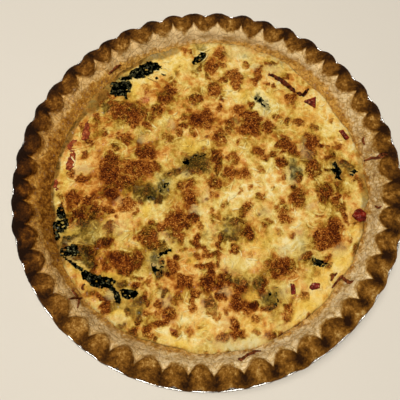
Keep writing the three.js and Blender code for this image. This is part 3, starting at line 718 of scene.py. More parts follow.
# %% Browned blisters
BROWNED = [
    # back left
    (101.5, 101.5, 5.5, 5.5, 0, 0.8), (128, 112, 18, 11.5, 0, 0.78), (134, 113, 9, 5, 0, 0.95),
    (147, 91, 8, 6, 0, 0.4), (169.5, 90.5, 7.5, 8.5, 0, 0.72), (157.5, 109, 7.5, 7, 0, 0.7),
    (147, 124, 5, 5, 0, 0.65), (196.5, 97.5, 6.5, 6.5, 0, 0.7), (196.5, 120, 6.5, 7, 0, 1.0),
    (184, 127, 6, 3.5, 0, 0.75), (178.5, 132, 3.5, 4, 0, 0.7), (178, 71, 3, 3, 0, 0.45),
    (187.5, 51, 7.5, 2.8, 0, 0.45), (195, 71, 4, 3.5, 0, 0.4), (98.5, 119, 4.5, 6, 0, 0.6),
    (104, 133, 4, 4, 0, 0.5), (120, 135, 5, 4.5, 0, 0.5), (165, 133, 4, 3.5, 0, 0.45),
    # back
    (220, 53, 7, 5.5, 0, 0.72), (211, 67, 8, 6.5, 0, 0.76), (207, 76, 3, 4, 0, 0.7),
    (222, 64.5, 4, 4.5, 0, 0.65), (234, 77, 9.5, 5.5, 0, 0.76), (235.5, 84.5, 5.5, 4.5, 0, 0.8),
    (214, 89, 8, 8.5, 0, 0.76), (223, 97.5, 3, 3.5, 0, 0.7), (219, 108, 3, 4, 0, 0.65),
    (246.5, 66, 4.5, 3, 0, 0.46), (257, 76, 12, 4.5, 114, 0.7), (271, 63.5, 6, 3.5, 0, 0.62),
    (266.5, 84.5, 2.5, 2.5, 0, 0.85), (273.5, 86.5, 2.5, 3.5, 0, 0.7), (286, 77.5, 4, 2.5, 0, 0.6),
    # back right
    (291.5, 99.5, 5.5, 5.5, 0, 0.65), (250, 105.5, 4, 4.5, 0, 0.75), (236, 110, 7, 3.5, 0, 0.6),
    (248, 114, 9, 2, 0, 0.9), (251, 122.5, 11, 9, 0, 0.68), (249, 130, 13, 7, 0, 0.7),
    (228.5, 123, 6.5, 4, 0, 0.65), (268.5, 127.5, 6.5, 7.5, 0, 0.66), (220, 137, 8, 8.5, 0, 0.7),
    (206, 119, 8, 10.5, 0, 0.76), (276.5, 116.5, 4.5, 3.5, 0, 0.6), (287, 122.5, 5, 4, 0, 0.6),
    (299, 123, 7, 4.5, 0, 0.64), (284.5, 138, 5.5, 4, 0, 0.6), (193, 131.5, 3, 3.5, 0, 0.6),
    (315, 126.5, 4, 3.5, 0, 0.6), (311, 141, 7, 10.5, 0, 0.78), (326, 145.5, 4, 2.2, 0, 0.5),
    (337.5, 147, 7.5, 1.8, 0, 0.5), (330.5, 155, 4.5, 4.5, 0, 0.66), (329, 121, 1.8, 4, 0, 0.5),
    (258.5, 152, 4.5, 5.5, 0, 0.65), (284, 144, 6, 6, 0, 0.78), (292, 149.5, 4, 6, 0, 0.72),
    (273, 154, 3, 4, 0, 0.6), (281.5, 162, 6.5, 5.5, 0, 0.9), (260.5, 169.5, 5.5, 4.5, 0, 0.46),
    (282, 176, 4, 5.5, 0, 0.6), (311.5, 168.5, 8, 12, 0, 0.68), (326, 168.5, 6, 1.8, 0, 0.6),
    # left
    (85, 155, 5, 4.5, 0, 0.55), (110.5, 159.5, 6.5, 8.5, 0, 0.88),
    (146, 153.5, 11, 6.5, 0, 0.72), (137, 168.5, 19, 8, 0, 0.66), (125, 182.5, 15, 7, 0, 0.72),
    (110.5, 194, 8.5, 7, 0, 0.95), (72.5, 197, 8.5, 6.5, 0, 0.66), (89, 201, 11, 3.5, 146, 0.66),
    (78.5, 213.5, 8.5, 6.5, 0, 0.95), (85.5, 221.5, 5.5, 7, 0, 0.9), (96, 211.5, 8, 8, 0, 0.78),
    (82.5, 179.5, 9.5, 3, 0, 0.62), (127.5, 204.5, 9.5, 7, 0, 0.6), (115, 217, 3, 2.5, 0, 0.56),
    (104, 206, 3, 3, 0, 0.4), (146, 191, 6, 6.5, 0, 0.7), (109, 225.5, 5.5, 3.5, 0, 0.6),
    (110, 231.5, 2.5, 3.5, 0, 0.55), (106.5, 241, 5.5, 5.5, 0, 0.95), (97, 243.5, 5, 5, 0, 0.62),
    (135, 212.5, 2.5, 3.5, 0, 0.46), (148, 237, 8.5, 13, -20, 0.7), (137.5, 241, 3.5, 2.5, 0, 0.55),
    (88, 255.5, 8, 4, 20, 0.85), (93, 266, 3.5, 9, 8, 0.85), (155, 246, 6, 4.5, 0, 0.76),
    # middle
    (155, 167.5, 5, 9, 0, 0.6), (197, 164, 14, 12, 0, 0.84), (138, 177, 8, 3, 0, 0.6),
    (216, 159, 6, 8.5, 0, 0.72), (229, 174.5, 7, 9, 0, 0.72), (232.5, 159, 7, 8.5, 0, 0.52),
    (243.5, 172.5, 6.5, 5.5, 0, 0.66), (213.5, 183, 7.5, 8.5, 0, 0.72), (215, 195, 4, 3.5, 0, 0.42),
    (191.5, 184, 5.5, 5.5, 0, 0.66), (180.5, 186.5, 5, 5, 0, 0.6), (190.5, 200, 6.5, 9.5, 0, 0.92),
    (194, 218, 6, 5, 0, 1.0), (177.5, 220, 14, 11.5, 0, 0.7), (178, 215, 5, 3.5, 0, 0.95),
    (184.5, 223.5, 5, 4, 0, 0.95), (224.5, 205.5, 4.5, 3, 0, 0.56), (212, 208.5, 4, 3, 0, 0.56),
    (214.5, 218, 3, 6, 0, 0.42), (244.5, 210, 11, 5, 125, 0.78), (234, 222, 6, 3.5, 0, 0.66),
    (249.5, 187.5, 3, 4, 0, 0.45), (240.5, 188.5, 3.5, 4, 0, 0.42), (237, 141.5, 3, 3, 0, 0.5),
    (205, 137, 3, 3, 0, 0.42), (260.5, 195.5, 4.5, 5, 0, 0.66), (275, 190, 2.5, 2.5, 0, 0.42),
    (280.5, 201.5, 3.5, 4, 0, 0.6), (284, 215.5, 7.5, 10.5, 0, 0.74), (298, 197, 8.5, 11.5, 0, 0.7),
    (293, 188, 4, 4, 0, 0.95), (323.5, 193, 7.5, 10.5, 0, 0.7), (337, 198, 5, 3.5, 0, 0.62),
    (347.5, 195, 5, 3, 0, 0.35), (344, 214, 11.5, 3.6, 70, 0.66), (324, 210, 3, 3, 0, 0.42),
    (318, 215, 3, 4, 0, 0.36), (267.5, 224.5, 5.5, 4.2, 0, 0.5), (260, 213, 2.5, 2.5, 0, 0.36),
    (278.5, 234, 4, 5.5, 0, 0.36), (292.5, 237, 3.5, 3.5, 0, 0.5), (346, 164, 6, 2.4, 0, 0.8),
    (362, 186.5, 3.5, 3.5, 0, 0.5),
    # right
    (326, 237, 15.5, 13.5, -30, 0.64), (333, 232, 8, 14, -8, 0.96), (315.5, 237.5, 4.5, 6.5, 0, 0.86),
    (322, 246, 8, 4.5, -15, 0.82), (350.5, 240, 4, 4, 0, 0.46), (281, 267, 19, 15, 0, 0.58),
    (281, 267, 11.5, 10.5, 0, 0.86), (277, 274, 5.5, 5, 0, 1.0), (284, 257, 4, 3.5, 0, 0.5),
    (307, 257, 5, 5, 0, 0.88), (327, 257.5, 4.5, 2, -20, 0.62), (261.5, 285, 5.5, 7, 0, 0.94),
    (305, 296, 5.5, 7, 0, 0.52), (316, 273, 6.5, 5, 0, 0.44), (312, 280, 4, 3, 0, 0.42),
    (356.5, 248.5, 3, 4.5, 0, 0.85), (332.5, 277, 1.4, 4, 12, 0.85),
    # front
    (162, 227.5, 10, 4.5, 0, 0.7), (176, 235, 10, 4, 8, 0.76), (180, 240.5, 3.2, 4, 0, 0.74),
    (196, 244, 5.5, 5.5, 0, 0.66), (197, 237, 3.2, 3.5, 0, 0.9), (183, 249.5, 4.5, 2.5, 0, 0.42),
    (221, 238, 4.5, 6, 0, 0.66), (219, 246.5, 3.8, 5.2, 0, 0.68), (211.5, 255, 8, 3.6, 0, 0.86),
    (197, 256, 4.5, 3, 0, 0.56), (204, 266, 8, 4, 8, 0.72), (189, 262, 2.5, 2, 0, 0.46),
    (174, 267, 6.5, 8.5, 0, 0.64), (175.2, 257.2, 2.4, 2.2, 0, 1.0), (167.8, 273.2, 2.2, 3.4, -25, 1.0),
    (170, 263.5, 2, 1.6, 0, 0.9), (184, 281, 11, 8, 10, 0.72), (190, 285, 4, 3.5, 0, 0.86),
    (193.5, 294, 5.2, 6, 0, 0.78), (208, 283, 6.5, 10.5, 0, 0.9), (211, 270, 3.4, 6.5, 0, 0.82),
    (226, 279, 10, 7, 25, 0.86), (219.5, 286.5, 4.5, 5, 0, 0.86), (220, 298, 4, 6, 0, 0.72),
    (239.5, 285, 9, 6.5, 0, 0.94), (236.5, 302.5, 6, 9, 0, 0.9), (235.5, 250.5, 5, 5, 0, 0.66),
    (247, 233, 7, 6.5, 0, 0.96), (239, 222.5, 10, 3.6, 0, 0.72), (249, 256, 2.8, 4, 0, 0.38),
    (209, 304.5, 5, 5.5, 0, 0.86), (191, 304.5, 5, 8.5, 0, 0.54), (177, 299, 6.5, 10, 0, 0.46),
    (158.5, 304.5, 5, 4.8, 0, 0.58), (158, 285, 3, 4, 0, 0.4), (169.5, 314, 7.5, 5.8, 0, 0.7),
    (216, 316, 3.5, 3.5, 0, 0.46), (246.5, 308, 4, 7, 0, 0.78), (254.5, 305, 5.2, 3, -20, 0.92),
    (127, 261, 17, 10.5, 0, 0.76), (116, 256, 6, 5.5, 0, 0.88), (138, 257, 7, 5.5, 0, 0.84),
    (107, 266, 5, 4, 0, 0.55), (126, 271, 9, 5.5, 0, 0.72), (137, 278, 5, 3.5, 0, 0.56),
    (124, 284.5, 4.8, 4.5, 0, 0.74), (92.5, 293.5, 3.5, 4, 0, 0.56), (107, 306, 5.5, 6.5, 0, 0.78),
    (144, 301.5, 5, 5.5, -35, 0.76), (146, 283, 4, 4, 0, 0.42), (145, 293.5, 4.5, 3.5, 0, 0.44),
    (128, 311, 3.8, 4, 0, 0.62), (146.5, 314, 4, 4, 0, 0.56), (160, 322.5, 12, 5, -8, 0.7),
    (147.5, 331, 5, 7, 0, 0.84), (154, 337, 3.6, 2, -45, 0.95), (132, 333, 5.5, 4.5, 0, 0.86),
    (134, 340.5, 5.5, 2.6, 10, 0.7), (137.5, 321.5, 5.5, 4, 0, 0.78), (122.5, 326.5, 4.5, 3.5, 0, 0.5),
    (175.5, 334.5, 5, 3.2, 15, 1.0), (176, 328, 6, 3.5, 0, 0.32), (188, 332, 5, 10, 0, 0.38),
    (201, 327.5, 4, 3, 0, 0.46), (235, 325.5, 5, 6.5, 0, 0.8), (237.5, 334.5, 9.5, 5.2, 0, 0.68),
    (223, 340, 6.5, 5.5, 0, 0.56), (256.5, 332, 4.5, 2.8, 0, 0.46), (281.5, 335, 4.2, 4, 0, 0.62),
    (270.5, 336.5, 6, 3.8, 0, 0.52), (286, 319.5, 5, 3.4, 0, 0.62), (287, 305.5, 6.5, 4, 0, 0.6),
    (288, 313, 6.5, 9.5, 0, 0.46), (255.5, 318, 6, 4, 0, 0.56), (228, 313, 4, 4.5, 0, 0.45),
    (270, 307, 6.5, 5, 0, 0.78), (206, 354, 3, 2.2, 0, 0.5), (230, 354.5, 3.5, 2, 0, 0.5),
    (270, 350, 6, 2, -8, 0.6), (298, 327, 6.5, 2.4, -42, 0.7), (308, 318.5, 5, 2, -42, 0.6),
    # more, all over
    (110, 172, 12, 16, 0, 0.8), (110, 155, 5, 6, 0, 0.8), (87, 252, 10, 5, 20, 1.0),
    (184, 117, 4, 4, 0, 0.5), (170, 140, 5, 5, 0, 0.5), (152, 117, 5, 6, 0, 0.6),
    (110, 210, 6, 4, 0, 0.6), (72, 219, 4, 4, 0, 0.5), (218, 168, 4, 6, 0, 0.8),
    (232, 240, 9, 3, 0, 0.7), (254, 281, 3, 3, 0, 0.7), (209, 313, 5, 5, 0, 0.5),
    (337, 187, 4, 8, 0, 0.6), (357, 181, 4, 5, 0, 0.5), (226, 217, 3.5, 3.5, 0, 0.6),
    (278, 147, 4, 4, 0, 0.6), (265, 157, 6, 4, 0, 0.55), (310, 153, 7, 5, -30, 0.5),
    (115, 305, 5, 5, 0, 0.5), (138, 305, 4, 3, 0, 0.5), (155, 315, 8, 4, 0, 0.45),
    (200, 226, 4, 5, 0, 0.6), (262, 308, 3, 4, 0, 0.6), (276, 208, 3, 6, 0, 0.5),
    (180, 266, 4, 4, 0, 0.5), (112, 105, 7, 6, 0, 0.75), (165, 98, 7, 8, 0, 0.6),
    (321, 146, 5, 3, 0, 0.8), (312, 264, 4, 3.5, 0, 0.7), (329, 265, 5, 3, 0, 0.6),
    (194, 205, 7, 3, -40, 0.8), (224, 81, 3.5, 4, 0, 0.8), (176, 172, 14, 4, -10, 0.7),
    (164, 247, 6, 5, -30, 0.9), (163, 293, 3, 4, 0, 0.9), (155, 223, 8, 3, 10, 0.7),
    (142, 115, 5, 4, 0, 0.7), (71, 173, 4, 4, 0, 0.7), (89, 143, 4, 3, 0, 0.7),
    (117, 146, 3.5, 4, 0, 0.7), (84, 198, 4, 3, 0, 0.7), (73, 221, 4, 3.5, 0, 0.8),
    (101, 299, 4, 4, 0, 0.7), (61, 199, 3, 6, -20, 0.5), (134, 124, 6, 6, 0, 0.7),
    (318, 174, 4, 5, 0, 0.6), (317, 195, 3, 4, 0, 0.7), (337, 206, 4, 6, -30, 0.6),
    (218, 262, 3, 7, 0, 0.6), (204, 247, 6, 3, 50, 0.7), (233, 253, 5, 3, 20, 0.7),
    (242, 237, 5, 3, 20, 0.6), (226, 242, 5, 3, 0, 0.5), (230, 128, 5, 6, 0, 0.6),
    (207, 127, 8, 4, 0, 0.6), (228, 238, 4, 3, 0, 0.5), (77, 259, 6, 3, 30, 0.9),
    (88, 267, 4, 3, 30, 0.9), (192, 173, 5, 3, 0, 0.8), (160, 200, 4, 4, 0, 0.8),
    (135, 191, 4, 3, 0, 0.8), (141, 201, 4, 4, 0, 0.9), (300, 178, 4, 4, 0, 0.8),
    (350, 168, 6, 4, 0, 0.7), (160, 277, 4, 4, 0, 0.9), (62, 206, 2.5, 4, 0, 0.8),
    (71, 238, 4, 3, 0, 0.8), (65, 246, 3, 4, 0, 0.8), (109, 96, 3, 4, 0, 0.8), (199, 66, 3, 4, 0, 0.6),
    (81, 125, 3, 4, 0, 0.7), (160, 261, 4, 4, 0, 0.7), (137, 287, 4, 5, 0, 0.7),
    (127, 140, 4, 5, 0, 0.7), (357, 224, 4, 3, 0, 0.5), (273, 155, 6, 4, 0, 0.6),
    (284, 152, 5, 3, 0, 0.6), (208, 199, 6, 2.5, 0, 0.5), (223, 218, 3, 3, 0, 0.6),
]
print(len(BROWNED), "browned blisters are noted")

# %% [markdown]
# The other marks are noted in the same way. Milky cheese, yolk and the stains beside the leaves have
# colours of their own, and bits of ham show pink through the skin. Creamy marks make the egg paler
# and toasted marks darker, without the grain of browned skin, and warm marks turn it reddish.

# %% Milky, yellow, green and pink marks
MILKY = [
    (58, 216, 6, 3, 0, 0.9), (255, 68, 4.5, 4.5, 0, 0.8), (285, 250, 7, 5, 0, 0.7),
    (241, 52, 14, 8, 0, 0.7), (272, 69, 8, 3.5, 0, 0.6), (265, 112, 5, 5, 0, 0.7),
    (305, 149, 5.5, 9, 0, 0.6), (82, 170, 8, 4.5, 0, 0.8), (118, 200, 5, 4, 0, 0.5),
    (143, 139, 5, 4, 0, 0.6), (197, 212, 5, 5.5, 0, 0.9), (205.5, 197, 6, 7, 0, 0.7),
    (186, 173, 4, 4, 0, 0.7), (292, 175, 8, 10, 0, 0.7), (310, 208, 5.5, 4, 0, 0.7),
    (265, 213, 6, 6, 0, 0.6), (300, 240, 6, 14, 0, 0.6), (340, 251, 8, 6, -30, 0.6),
    (284, 291, 6, 6, 0, 0.7), (235, 265, 15, 9, 0, 0.35), (155, 262, 6, 9, 0, 0.5),
    (110, 295, 6, 5, 0, 0.8), (68, 243, 8, 3, -30, 0.5), (75, 262, 12, 4, 35, 0.4),
    (120, 319, 8, 6, 0, 0.5), (103, 318, 4, 12, -35, 0.6), (167, 303, 5, 7, 0, 0.7),
    (225, 293, 5, 5, 0, 0.7), (235, 345, 26, 7, 4, 0.8), (258, 341, 12, 7, 0, 0.6),
    (225, 323, 6, 6, 0, 0.4), (203, 309, 3, 12, 0, 0.5), (165, 237, 10, 6, 15, 0.35),
    (160, 294, 4.5, 4.5, 0, 0.6), (175, 323, 8, 2.5, -10, 0.4), (172, 124, 4, 5.5, 0, 0.6),
    (210, 230, 8, 9, 0, 0.3), (283, 326, 6, 5, 0, 0.4), (120, 228, 8, 8, 0, 0.4),
]
YOLK = [
    (325, 278, 16, 14, -35, 0.8), (135, 90, 5, 9, 0, 0.9), (232, 84, 9, 10, 0, 0.5),
    (137, 87, 4, 7.5, 0, 0.9), (176, 63, 13, 9, 0, 0.6), (242, 94, 8, 6, 0, 0.7),
    (332, 125, 11, 16, 0, 0.4), (64, 178, 4.5, 13, 0, 0.5), (145, 210, 5, 6, 0, 0.9),
    (190, 146, 10, 8, 0, 0.8), (258, 243, 14, 11, 0, 0.5), (344, 260, 11, 12, 0, 0.95),
    (355, 232, 8, 7, 0, 0.5), (312, 302, 16, 9, -35, 0.95), (295, 318, 12, 7, -50, 0.9),
    (118, 311, 7, 6, 0, 0.7), (178, 343, 16, 5, 12, 0.95), (205, 326, 10, 7, 0, 0.5),
    (113, 276, 11, 3, 8, 0.8), (70, 232, 8, 3.5, 0, 0.7), (74, 268, 8, 5, 35, 0.5),
    (236, 264, 12, 6, 0, 0.5), (250, 325, 12, 8, 0, 0.5), (249, 296, 9, 5, 0, 0.6),
    (312, 125, 26, 22, 40, 0.35),
    (165, 66, 18, 9, 0, 0.5), (145, 82, 8, 8, 0, 0.5), (262, 95, 20, 8, 0, 0.4),
    (82, 284, 4, 8, -25, 0.5), (158, 236, 3, 3, 0, 0.8), (192, 262, 5, 4, 0, 0.8),
    (131, 92, 6, 6, 0, 0.3), (270, 240, 10, 7, 0, 0.4), (204, 226, 8, 6, 0, 0.4),
]
GREEN = [
    (296, 172, 5, 8, 20, 1.0), (346, 167, 8, 4, 0, 0.6), (156, 199, 6, 5, 0, 0.8),
    (140, 198, 5, 6, 0, 0.6), (79, 258, 7, 4, 30, 1.0), (86, 265, 5, 4, 30, 0.9),
    (158, 278, 4, 3, 0, 0.7), (166, 57, 5, 3, 0, 0.4), (195, 68, 4, 3, 0, 0.5), (68, 238, 4, 3, 0, 0.7),
    (200, 48, 7, 4, 0, 0.8), (196, 68, 4, 4, 0, 0.5), (165, 250, 8, 5, -20, 0.8),
    (153, 272, 4, 6, -20, 0.7), (162, 293, 5, 4, 0, 0.5), (87, 266, 6, 4, 30, 0.8),
    (186, 168, 8, 7, 0, 0.8), (163, 186, 6, 8, 0, 1.0), (152, 196, 8, 6, 0, 1.0),
    (139, 194, 8, 8, 0, 0.8), (161, 199, 6, 8, 0, 0.8), (80, 258, 9, 6, 20, 0.9),
    (64, 243, 8, 5, -30, 0.8), (153, 256, 6, 7, 0, 0.9), (180, 169, 9, 4, 0, 0.8),
    (112, 330, 12, 5, 35, 0.4), (84, 234, 18, 12, 0, 0.75), (92, 234, 12, 9, 0, 0.6),
    (198, 164, 12, 10, 0, 0.9), (230, 232, 10, 12, 0, 0.8), (122, 79, 13, 5, -25, 0.9),
    (166, 181, 9, 10, 0, 0.8), (153, 194, 8, 7, 0, 0.8), (106, 107, 3.5, 5, 0, 0.9),
    (118, 127, 4, 4, 0, 0.6), (141, 133, 4, 3.5, 0, 0.6), (245, 55, 4, 3.5, 0, 0.7),
    (266, 104, 5, 5, 0, 0.9), (258, 98, 5, 4, 0, 1.0), (237, 121, 4, 5, 0, 0.5),
    (282, 65, 4, 3, 0, 0.6), (155, 196, 7.5, 7.5, 0, 0.8), (165, 184, 6, 5.5, 0, 0.8),
    (160, 177, 5, 4.5, 0, 0.6), (173, 172, 5, 4, 0, 0.8), (186, 162, 5, 5, 0, 1.0),
    (208, 170, 6, 5, 0, 0.5), (294, 165, 5.5, 7.5, 0, 0.9), (300, 175, 4, 4, 0, 0.7),
    (227, 218, 5.5, 5, 0, 0.6), (232, 233, 8.5, 10.5, 0, 0.75), (205, 234, 4.5, 4, 0, 0.6),
    (210, 243, 3.5, 3, 0, 0.5), (238, 282, 8, 4, 15, 0.7), (257, 284, 5, 6, 0, 0.85),
    (303, 247, 7, 6, 0, 0.6), (317, 262, 9, 5, 0, 0.8), (270, 298, 9, 8, 0, 0.9),
    (268, 310, 6, 4, 0, 0.5), (210, 306, 6, 9, 0, 0.6), (139, 314, 5, 6.5, 0, 0.8),
    (137, 303, 5, 5, 0, 0.7), (122, 327, 5, 4, 0, 0.6), (96, 226, 9, 8, 0, 0.6),
    (97, 238, 7, 5, 0, 0.4), (72, 252, 14, 9, 20, 0.6), (84, 262, 7, 5, 35, 0.7),
    (120, 293, 10, 6, 20, 0.5), (118, 304, 7, 6, 0, 0.6), (160, 268, 7, 9, 0, 0.7),
    (175, 244, 4, 4, 0, 0.3), (187, 244, 4, 5, 0, 0.5), (190, 254, 3, 3, 0, 0.5),
    (310, 250, 7, 4, 0, 0.4), (250, 281, 5, 3, 0, 0.6), (245, 278, 5, 3, 0, 0.4),
    (87, 148, 6, 8, 0, 0.3), (350, 137, 4, 8, -35, 0.3), (190, 340, 3, 4, 0, 0.2),
    (272, 318, 5, 5, 0, 0.4), (115, 282, 12, 4, 15, 0.5), (150, 190, 12, 7, -20, 0.7),
    (166, 178, 9, 8, -30, 0.7), (192, 164, 14, 10, 0, 0.6), (272, 299, 10, 13, 0, 0.7),
    (216, 346, 30, 5, 0, 0.35), (60, 225, 8, 16, 0, 0.7), (100, 228, 14, 10, 0, 0.5),
    (132, 308, 14, 14, 0, 0.4), (130, 88, 5, 12, 0, 0.3), (118, 78, 16, 4, -25, 0.7),
    (336, 170, 9, 11, 0, 0.6), (353, 173, 6, 5, 0, 0.6), (350, 135, 5, 6, 0, 0.5),
    (262, 102, 12, 9, 35, 0.5),
]
PINK = [
    (145, 99, 4, 4.5, 0, 1.0), (147, 93, 4, 2, 0, 0.6), (173, 332, 4, 2.5, 20, 0.9),
    (301, 140, 4, 6, 0, 0.5), (73, 135, 4, 4, 0, 0.5), (93, 135, 8, 10, 0, 0.35),
    (155, 292, 5, 3, 0, 0.5), (110, 226, 4, 4, 0, 0.5), (320, 289, 8, 4, 0, 0.6),
    (312, 283, 5, 3, 40, 0.5), (84, 154, 5, 4, 0, 0.5), (170, 187, 5, 5, 0, 0.4),
]
print(len(MILKY), "milky,", len(YOLK), "yellow,", len(GREEN), "green and", len(PINK), "pink marks")

# %% Creamy, warm and toasted marks
CREAM = [
    (268, 88, 5, 5, 0, 0.8), (222, 76, 5, 3, 0, 0.7), (212, 116, 4, 4, 0, 0.8),
    (219, 94, 4, 3, 0, 0.7), (155, 100, 4, 4, 0, 0.9), (105, 133, 5, 4, 0, 0.9), (151, 136, 4, 4, 0, 0.7),
    (210, 146, 5, 4, 0, 0.9), (203, 152, 4, 3, 0, 0.7), (288, 136, 5, 5, 0, 0.9), (316, 138, 4, 3, 0, 0.8),
    (324, 156, 3, 3, 0, 0.8), (334, 154, 4, 3, 0, 0.8), (329, 214, 5, 5, 0, 0.8), (341, 207, 3, 3, 0, 0.8),
    (333, 284, 4, 3, 0, 0.7), (113, 252, 5, 4, 0, 0.8), (355, 144, 4, 5, 0, 0.7), (169, 238, 4, 4, 0, 0.7),
    (140, 219, 6, 6, 0, 0.6), (162, 238, 6, 3, 0, 0.6), (350, 190, 6, 14, 0, 0.7), (219, 74, 6, 4, 0, 0.8),
    (226, 145, 8, 8, 0, 0.9), (97, 181, 6, 9, 0, 0.8), (285, 250, 8, 6, 0, 1.0), (305, 173, 5, 9, 0, 0.9),
    (100, 308, 7, 8, 0, 0.8), (287, 315, 7, 8, 0, 0.8), (260, 318, 7, 6, 0, 0.8), (207, 300, 11, 5, 0, 0.7),
    (165, 281, 6, 6, 0, 0.8), (340, 207, 7, 7, 0, 0.7), (110, 222, 8, 4, 0, 0.7), (238, 88, 6, 7, 0, 0.9),
    (216, 93, 6, 7, 0, 0.7), (255, 68, 5, 5, 0, 1.0), (105, 112, 8, 9, 0, 0.7), (222, 333, 6, 6, 0, 0.6),
    (232, 85, 10, 11, 0, 0.8), (95, 120, 6, 6, 0, 0.6), (148, 92, 6, 8, 0, 0.8),
    (236, 70, 14, 14, 0, 0.7), (262, 103, 13, 12, 0, 1.0), (268, 172, 17, 12, 0, 0.8),
    (272, 193, 13, 11, 0, 0.8), (284, 222, 15, 14, 0, 0.9), (286, 246, 14, 10, 0, 1.0),
    (184, 132, 7, 6, 0, 0.8), (132, 205, 12, 9, 0, 0.8), (175, 240, 8, 6, 0, 0.5),
    (322, 285, 22, 13, -38, 0.8), (300, 322, 16, 10, -40, 0.7), (172, 336, 26, 9, 5, 0.8),
    (240, 344, 26, 7, 0, 0.7), (330, 120, 12, 15, 0, 0.5), (172, 62, 16, 9, 0, 0.7),
    (206, 74, 10, 8, 0, 0.5), (224, 47, 15, 6, 0, 0.7), (341, 262, 13, 12, 0, 0.9),
    (80, 262, 11, 5, 35, 0.9), (141, 88, 7, 10, 0, 0.9), (240, 198, 24, 20, 0, 0.5),
    (240, 262, 20, 8, 0, 0.6), (205, 318, 30, 14, 0, 0.4), (70, 165, 8, 12, 0, 0.5),
]
WARM = [
    (88, 168, 20, 34, 0, 0.7), (122, 215, 18, 16, 0, 0.8), (70, 150, 10, 20, 0, 0.9),
    (108, 250, 16, 12, 0, 0.5), (216, 116, 34, 16, 0, 0.6), (262, 80, 12, 9, 0, 0.7),
    (308, 112, 14, 18, 0, 0.6), (180, 275, 24, 20, 0, 0.7), (225, 310, 50, 26, 0, 0.7),
    (325, 282, 26, 12, -35, 0.7), (160, 158, 14, 10, 0, 0.5), (165, 310, 20, 12, 0, 0.4),
    (345, 150, 10, 14, 0, 0.4), (150, 92, 10, 10, 0, 0.6), (330, 240, 14, 14, 0, 0.4),
]
TOASTED = [
    (172, 100, 10, 12, 0, 0.7), (340, 170, 14, 20, 0, 0.7), (90, 245, 34, 46, -30, 0.7),
    (100, 128, 22, 22, 0, 0.6), (82, 148, 12, 22, 0, 0.4), (104, 185, 26, 22, 0, 0.6),
    (140, 150, 22, 14, 0, 0.5), (78, 212, 14, 18, 0, 0.7), (100, 240, 22, 13, 0, 0.7),
    (108, 290, 26, 20, 0, 0.7), (132, 300, 18, 14, 0, 0.7), (168, 290, 22, 14, 0, 0.4),
    (205, 284, 24, 14, 0, 0.5), (256, 296, 20, 13, 0, 0.6), (322, 156, 20, 12, 0, 0.5),
    (300, 140, 18, 10, 0, 0.4), (336, 190, 14, 18, 0, 0.6), (232, 234, 12, 10, 0, 0.5),
    (180, 102, 14, 14, 0, 0.5), (165, 96, 12, 10, 0, 0.7), (212, 152, 15, 14, 0, 0.5),
    (190, 118, 22, 10, 0, 0.5), (250, 120, 24, 14, 0, 0.4), (275, 312, 14, 10, 0, 0.6),
    (136, 190, 12, 9, 0, 0.8), (160, 194, 12, 8, 0, 0.6), (351, 162, 8, 9, 0, 0.9),
    (68, 235, 12, 14, 0, 0.7), (84, 264, 14, 7, 30, 0.7), (116, 272, 14, 10, 0, 0.5),
    (118, 68, 14, 8, -30, 0.7), (66, 135, 8, 20, 20, 0.5), (345, 190, 8, 12, 0, 0.6),
]
print(len(CREAM), "creamy,", len(WARM), "warm and", len(TOASTED), "toasted marks")

# %% [markdown]
# To use the notes on a mesh we need the way back, from points in space to the picture. Whole arrays
# of points are much quicker here than one point at a time. Before a mark is looked up, the spot is
# shifted a little by noise, which turns the smooth ovals into frayed, natural outlines.

# %% From points to the notes
turn_to_world = np.array(camera.matrix_world.to_3x3())


def in_picture(points):
    """Where points show in the picture, as steps across and steps down."""
    seen = (points - np.array(CAMERA_PLACE)) @ turn_to_world
    across = PICTURE / 2 - FOCAL_STEPS * seen[:, 0] / seen[:, 2]
    down = PICTURE / 2 + FOCAL_STEPS * seen[:, 1] / seen[:, 2]
    return across, down


def cloud(points, size, seed):
    """Noise from about -1 to 1 for every point, with lumps of this size."""
    shift = Vector((seed, seed * 1.7, 5 - seed))
    return np.array([noise.noise(Vector(point) / size + shift) for point in points])


def covered(marks, across, down, start=1.5, end=0.4):
    """How strongly each spot of the picture is covered by the marks, fading from end out to start."""
    cover = np.zeros_like(across)
    for middle, middle_down, half_width, half_height, turn, strength in marks:
        x, y = across - middle, down - middle_down
        c, s = cos(radians(turn)), sin(radians(turn))
        away = np.hypot((x * c + y * s) / half_width, (y * c - x * s) / half_height)
        cover = np.maximum(cover, strength * ramp(away, start, end))
    return cover


def frayed(spots, points, seed):
    """Shifts spots of the picture by a broad and a fine noise, so that marks get frayed outlines."""
    return spots + 4.4 * cloud(points, 5 * MM, seed) + 2 * cloud(points, 1.8 * MM, seed + 1)


def look_up(x, y):
    """The marks at points of the filling's top, by name."""
    points = np.stack([x, y, fill_height(x, y)], axis=1)
    across, down = in_picture(points)
    across, down = frayed(across, points, 1), frayed(down, points, 3)
    faint_ring = 0.4 * covered(BROWNED, across, down, 2.3, 0.8)
    found = {"browned": np.maximum(covered(BROWNED, across, down), faint_ring)}
    for name, noted in {"milky": MILKY, "yolk": YOLK, "green": GREEN, "pink": PINK}.items():
        found[name] = covered(noted, across, down)
    found["tone"] = covered(TOASTED, across, down) - covered(CREAM, across, down)
    found["warm"] = covered(WARM, across, down) - covered(GREEN, across, down, 2.6, 0.6)
    return found


def top_height(x, y, found):
    """The filling's top with its blisters: browned skin has puffed up, milky cheese has sunk."""
    puffed = 0.75 * ramp(found["browned"], 0.15, 0.6) + 0.3 * found["browned"]
    sunk = 0.3 * found["milky"] + 0.2 * found["green"] + 0.35
    return fill_height(x, y) + MM * (puffed - sunk)


